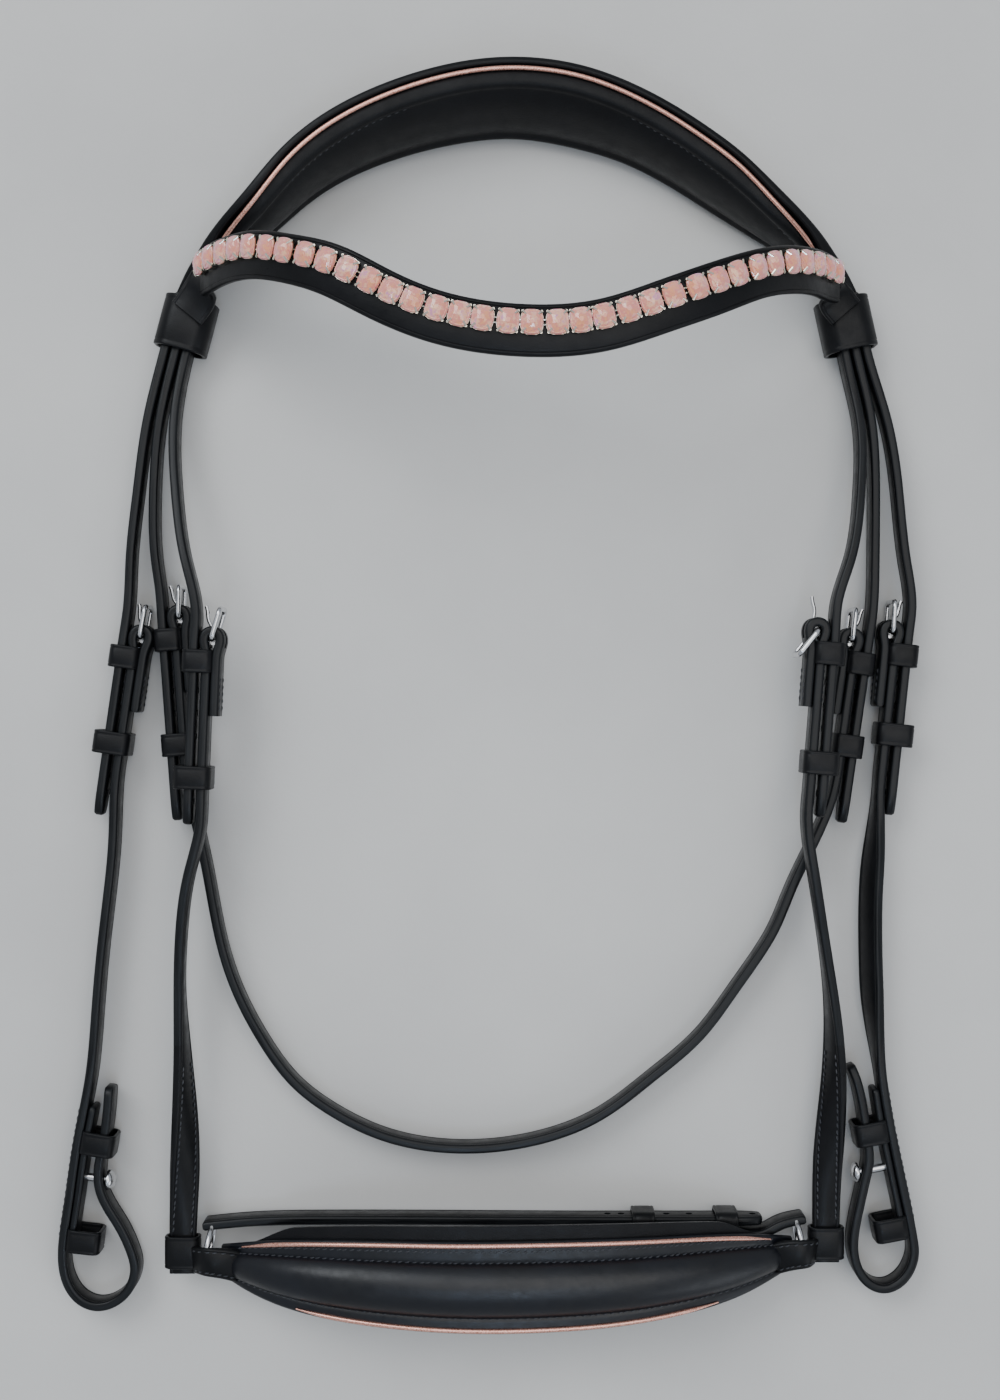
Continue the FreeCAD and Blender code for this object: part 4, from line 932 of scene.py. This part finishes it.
skin = paint(carry("crown leather", crown, crown_skin), STRAP)
done(skin, "headstall", "bridle_leather", "crown_leather")
inner, start, stop = part_of(crown, 19, crown.run[-1] - 19)
cushion = carry("crown padding", inner, lambda f: crown_pad(start + (stop - start) * f))
paint(cushion, LINING)
done(cushion, "headstall", "padding_leather", "crown_padding")


def piping(name, sweep, places, radius, tip=10.0):
    """A round cord beside an edge. places gives (a, b) at a fraction along."""
    points = []
    for i, distance in enumerate(sweep.run):
        a, b = places(distance / sweep.run[-1])
        points.append(sweep.path[i] + sweep.wide[i] * a + sweep.out[i] * b)
    path = np.array(points)
    line = Sweep(path, sweep.wide, unit(np.cross(tangents(path), sweep.wide)))

    def grow(f):
        gap = min(f, 1 - f) * line.run[-1]
        size = 0.35 + 0.65 * soft(gap / tip)
        return size, size
    return paint(carry(name, line, round_section(radius), grow), PIPING)


def crown_cord(f):
    """Where the crown piping lies in the crown's section."""
    g = start + (stop - start) * f
    return at_fraction(WIDE, g) - 1.7, at_fraction(DEEP, g) - 1.5


cord = piping("crown piping", inner, crown_cord, 1.0)
done(cord, "headstall", "piping", "crown_piping")
spots = []
for distance in np.arange(26, crown.run[-1] - 26, 3.2):
    f = distance / crown.run[-1]
    wide, face = at_fraction(WIDE, f), at_fraction(FACE, f) + at_fraction(SKINS, f)
    for a, b, way in ((wide - 8.5, 0.1, -1), (6.6, 0.1, -1), (wide - 3.4, face, 1), (3.4, face, 1)):
        point, line, w, out = crown.point(distance, a, b)
        spots.append((point, line, w, out * way))
done(stitches("crown stitches", spots, 2.4, 0.36, 0.2), "headstall", "bridle_leather")

# ------------------------------------------------------------------ browband


def face_up(rows):
    """A sweep of a band that runs across the bridle with its face turned outwards."""
    path = spline(rows)
    line = tangents(path)
    out = unit(np.cross(line, np.array([0.0, 1.0, 0.0])))
    return Sweep(path, unit(np.cross(out, line)), out), path


BROW_WIDTH = [19] + [20] * 4 + [21] * 7 + [20] * 4 + [19]
brow, path = face_up([p + (BROW_WIDTH[i],) for i, p in enumerate(BROW)])
widths = path[:, 3]


def brow_section(f):
    """Section of the browband at a fraction of its length."""
    wide = float(np.interp(f * brow.run[-1], brow.run, widths))
    return [(a, b - 1.8) for a, b in strap_section(wide, 3.6, 1.7, 1.5, 0.3)]


leather_band = paint(carry("browband leather", brow, brow_section), STRAP)
done(leather_band, "headstall", "bridle_leather", "browband_leather")


def browband_ear(side, first, inward):
    """The folded leather that leads one end of the browband into its loop."""
    place = BROW_LOOPS[side]
    marks = [brow.point(first + inward * 7, 0, -1.9)[0], brow.point(first + inward * 0.5, -0.6, -2.2)[0],
             place.at(-13, -4.5, 22.6), place.at(-4, -1, 20.6)]
    path = spline([tuple(mark) for mark in marks])
    line = tangents(path)
    turned = np.array([-0.8 * inward, 0.6, 0.0])
    wide = np.array([(1 - soft(i / len(path))) * np.array([0, 1.0, 0]) + soft(i / len(path)) * turned
                     for i in range(len(path))])
    wide = unit(wide - line * np.sum(wide * line, axis=1)[:, None])
    sweep = Sweep(path, wide, np.cross(line, wide))
    ear = carry("browband ear " + side, sweep, strap_section(18.4, 3.0, 1.7),
                lambda f: (1 - 0.12 * soft(f), 1 - 0.25 * soft(f)))
    done(paint(ear, STRAP), "headstall", "bridle_leather")


browband_ear("left", 0.0, 1)
browband_ear("right", brow.run[-1], -1)
count, inset, STONE_UP = 34, 6.0, 2.8
pitch = (brow.run[-1] - 2 * inset) / (count - 1)
radius = min(4.6, pitch / 2 - 0.35)
stone_v, stone_f, cup_v, cup_f = [], [], [], []


def add_rings(verts, faces, middle, x, y, z, rings, sides, turn=0.0, square=0.0):
    """Adds a stack of many-sided rings; rings are (radius, height, extra turn).
    square pushes the corners out."""
    base = len(verts)
    for radius_here, h, extra in rings:
        for k in range(sides):
            angle = 2 * math.pi * (k + extra) / sides + turn
            r = radius_here * (1 + square * (1 - math.cos(4 * angle)) / 2)
            verts.append(middle + x * r * math.cos(angle) + y * r * math.sin(angle) + z * h)
    faces += wrap(len(rings), sides, base) + lids(len(rings), sides, base)


def rod(verts, faces, first, last, radius, sides=8):
    """Adds a straight wire between two points."""
    line = unit(last - first)
    helper = UP if abs(line[2]) < 0.9 else np.array([1.0, 0.0, 0.0])
    x = unit(np.cross(line, helper))
    add_rings(verts, faces, first, x, np.cross(line, x), line,
              [(radius, 0, 0), (radius, float(np.linalg.norm(last - first)), 0)], sides)


for i in range(count):
    point, line, w, out = brow.point(inset + pitch * i, STONE_UP, 0)
    tilt = 0.02 * ripple(i * 1.7)
    x = unit(line + w * tilt)
    y = np.cross(out, x) * 1.12
    wall = [(radius - 0.6, 0.1, 0), (radius - 0.35, 1.2, 0), (radius - 0.05, 1.5, 0),
            (radius - 0.05, 1.9, 0), (radius - 0.5, 1.9, 0)]
    add_rings(cup_v, cup_f, point, x, y, out, wall, 32, square=0.13)
    for k in range(4):
        angle = math.pi / 4 + k * math.pi / 2
        ray = x * math.cos(angle) + y * math.sin(angle)
        corner = radius * 1.13
        bend = point + ray * (corner + 0.1)
        rod(cup_v, cup_f, point + ray * (corner - 0.2) + out * 0.4, bend + out * 2.7, 0.55)
        rod(cup_v, cup_f, bend + out * 2.6, point + ray * (corner - 1.9) + out * 3.75, 0.5)
    if i < count - 1:
        other = brow.point(inset + pitch * (i + 1), STONE_UP, 0)[0]
        for shift in (-1.0, 1.0):
            rod(cup_v, cup_f, point + w * shift + out * 0.8, other + w * shift + out * 0.8, 0.4)
    girdle = [(radius * 0.6, 1.2, 0), (radius * 0.96, 2.0, 0), (radius * 0.98, 2.4, 0),
              (radius * 0.90, 3.1, 0.5)]
    add_rings(stone_v, stone_f, point, x, y, out, girdle, 16, math.pi / 16, square=0.12)
    facets = [(radius * 0.9, 3.0, 0), (radius * 0.70, 3.75, 0.5), (radius * 0.46, 4.3, 0),
              (radius * 0.2, 4.8, 0.5)]
    add_rings(stone_v, stone_f, point, x, y, out, facets, 8, math.pi / 8, square=0.1)

cups = build("browband cups", cup_v, cup_f)
cups.data.set_sharp_from_angle(angle=math.radians(35))
paint(cups, SETTING)
done(cups, "headstall", "setting_metal", "browband_settings")
gems = build("browband stones", stone_v, stone_f)
gems.data.polygons.foreach_set("use_smooth", [False] * len(gems.data.polygons))
paint(gems, STONE)
done(gems, "headstall", "stones", "browband_stones")

for side, stud in STUDS.items():
    verts, faces = [], []
    dome = [(2.0, 0, 0), (4.3, 0.1, 0), (4.7, 0.9, 0), (4.3, 2.0, 0), (3.2, 3.1, 0), (1.5, 3.9, 0)]
    add_rings(verts, faces, stud.at(0, BUTTON_AT[side], LOW + WIDTH / 2), stud.down(), UP, stud.across(),
              dome, 28)
    button = paint(build("stud button " + side, verts, faces), STEEL)
    done(button, "cheek_" + side, "steel")

# ------------------------------------------------------------------ noseband

nose, path = face_up(NOSE)
HALF, SWELL = path[:, 3], path[:, 4]


def nose_at(values, f):
    """A noseband value at a fraction of the noseband's length."""
    return float(np.interp(f * nose.run[-1], nose.run, values))


def nose_front(f):
    """Front of the noseband: flat margins for the piping, a stitched channel and a puffed middle."""
    half, swell = nose_at(HALF, f), nose_at(SWELL, f)
    scale = half / 19.5
    seam, hem = half - 8.9 * scale, -(half - 6.6 * scale)
    ring = [(half - 0.3, -2.5), (0, -2.5), (0.3 - half, -2.5), (-half, -1.6)]
    for k in range(49):
        a = -half + 2 * half * k / 48
        edge = half - abs(a)
        b = -0.9 * (1 - min(1, edge / 1.2)) ** 2
        gap = min(abs(a - seam), abs(a - hem))
        b -= 0.35 * math.exp(-(gap / 0.6) ** 2)
        if hem < a < seam:
            t = (a - hem) / (seam - hem) * 2 - 1
            b += swell * 0.82 * (1 - abs(t) ** 2.3) ** 0.8 * (1 + 0.02 * ripple(f * 0.9, t * 0.2))
        ring.append((a, b))
    ring.append((half, -1.6))
    return ring


def nose_pad(f):
    """Section of the cushion behind the noseband front, with its lip above the upper edge."""
    g = nose_from + (nose_to - nose_from) * f
    half, swell = nose_at(HALF, g), nose_at(SWELL, g)
    close = soft(min(f, 1 - f) * 9)
    lip = (swell * 0.62 + 2.4) * close
    ring = []
    for k in range(36):
        turn = math.pi * k / 35
        a = lip / 2 + (half * 0.93 + lip / 2) * math.cos(turn)
        depth = (swell * 0.8 * close + 0.6) * math.sin(turn) ** 0.55
        b = -2.6 - depth * (1 + 0.04 * ripple(g * 1.4, turn))
        ring.append((a, b))
    return ring


front = paint(carry("noseband front", nose, nose_front), SMOOTH)
done(front, "headstall", "bridle_leather", "noseband_leather")
inner_nose, nose_from, nose_to = part_of(nose, 12, nose.run[-1] - 12)
cushion = paint(carry("noseband padding", inner_nose, nose_pad), LINING)
done(cushion, "headstall", "padding_leather", "noseband_padding")
cords = []
for tag, sign, trim in (("top", 1, 14), ("bottom", -1, 42)):
    trimmed, near, far = part_of(nose, trim, nose.run[-1] - trim)
    cords.append(piping("noseband piping " + tag, trimmed, lambda f: (
        sign * (nose_at(HALF, near + (far - near) * f) - 1.6), 0.45), 1.0, 16.0))
done(join("noseband piping", cords), "headstall", "piping", "noseband_piping")
spots = []
for distance in np.arange(12, nose.run[-1] - 12, STITCH):
    half = nose_at(HALF, distance / nose.run[-1])
    scale = half / 19.5
    for a in (half - 8.9 * scale, -(half - 6.6 * scale), half - 4.2 * scale)[:2 if half < 9 else 3]:
        spots.append(nose.point(distance, a, -0.05))
done(stitches("noseband stitches", spots, 2.3, 0.36, 0.3), "headstall", "bridle_leather")


def tab_grow(f):
    """Width and thickness of a noseband tab at a fraction of its length."""
    return 1.05 - 0.15 * soft(f), 1 - 0.3 * soft(f)


def noseband_end(side, x, y):
    """The end loop round a hanger, and the stitched tab that covers the ring in front of it."""
    place = Place(x, y, 0.0, -1 if side == "left" else 1)
    loop = band("noseband end loop " + side, place, -7, 7, -6.1, 6.1, 10.6, 16.4, 1.4, 0.8, 1.4, 2.4)
    done(loop, "headstall", "bridle_leather", "noseband_end_loop_" + side)
    outward = -1 if side == "left" else 1
    end = np.array(NOSE[0 if side == "left" else -1][:3])
    near = end - np.array([outward * 9.0, 1.0, -6.5])
    marks = [near, end + np.array([-outward * 2.0, 1.4, 9.6]), end + np.array([outward * 5.0, 2.2, 10.2]),
             np.array([x - outward * 5.5, end[1] + 1.8, 17.0])]
    path = spline([tuple(mark) for mark in marks])
    line = tangents(path)
    wide = unit(np.cross(UP, line))
    sweep = Sweep(path, wide, np.cross(line, wide))
    tab = carry("noseband tab " + side, sweep, strap_section(13.0, 3.4, 1.6), tab_grow)
    done(paint(tab, STRAP), "headstall", "bridle_leather")
    spots = []
    for k in range(1, 8):
        for a in (-4.7, 4.7):
            i = min(len(path) - 2, int(len(path) * k / 8))
            face = np.cross(line[i], wide[i])
            face = face if face[2] > 0 else -face
            ga, gb = tab_grow(k / 8)
            spots.append((path[i] + wide[i] * a * ga + face * 1.75 * gb, line[i], wide[i], face))
    done(stitches("noseband tab stitches " + side, spots, 2.0, 0.34, 0.2), "headstall", "bridle_leather")


for side, (x, y) in END_LOOPS.items():
    noseband_end(side, x, y)

# ------------------------------------------------------------------ stage

bpy.ops.mesh.primitive_plane_add(size=6, location=(0, 0, -0.0004))
floor = bpy.context.active_object
mat, nodes, links, shader = material("floor", (0.66, 0.65, 0.63), 0.85)
links.new(blend_colors(nodes, links, noise(nodes, links, 6, 6), (0.62, 0.61, 0.595), (0.68, 0.67, 0.65)),
          shader.inputs["Base Color"])
bump(nodes, links, shader, noise(nodes, links, 220, 6), 0.25, 0.0006)
floor.data.materials.append(mat)

world = bpy.data.worlds.new("soft room")
world.use_nodes = True
world.node_tree.nodes["Background"].inputs["Color"].default_value = (0.86, 0.92, 1.0, 1)
world.node_tree.nodes["Background"].inputs["Strength"].default_value = 0.55
bpy.context.scene.world = world


def light(name, place, aim, size, power, color):
    """A soft area lamp pointed at a spot."""
    data = bpy.data.lights.new(name, "AREA")
    data.shape = "RECTANGLE"
    data.size, data.size_y = size
    data.energy = power
    data.color = color
    lamp = bpy.data.objects.new(name, data)
    lamp.location = place
    lamp.rotation_euler = (Vector(aim) - Vector(place)).to_track_quat("-Z", "Y").to_euler()
    bpy.context.scene.collection.objects.link(lamp)


light("window", (-1.1, 1.3, 1.9), (0, 0, 0), (1.6, 1.2), 26, (0.93, 0.97, 1.0))
light("overhead", (0.4, 0.3, 2.4), (0, 0, 0), (2.2, 1.6), 20, (1.0, 0.98, 0.95))
light("low fill", (1.6, -1.4, 1.1), (0, 0, 0), (1.2, 1.2), 7, (0.9, 0.95, 1.0))
light("sky patch", (0.02, -0.62, 1.5), (0.0, -0.2, 0), (0.16, 0.3), 1.7, (0.58, 0.76, 1.0))

lens = bpy.data.cameras.new("camera")
lens.sensor_fit = "VERTICAL"
lens.sensor_height = 36
lens.lens = 48.96
camera = bpy.data.objects.new("camera", lens)
camera.location = (SHIFT[0] / 1000, SHIFT[1] / 1000, 0.85 + SHIFT[2] / 1000)
bpy.context.scene.collection.objects.link(camera)
bpy.context.scene.camera = camera
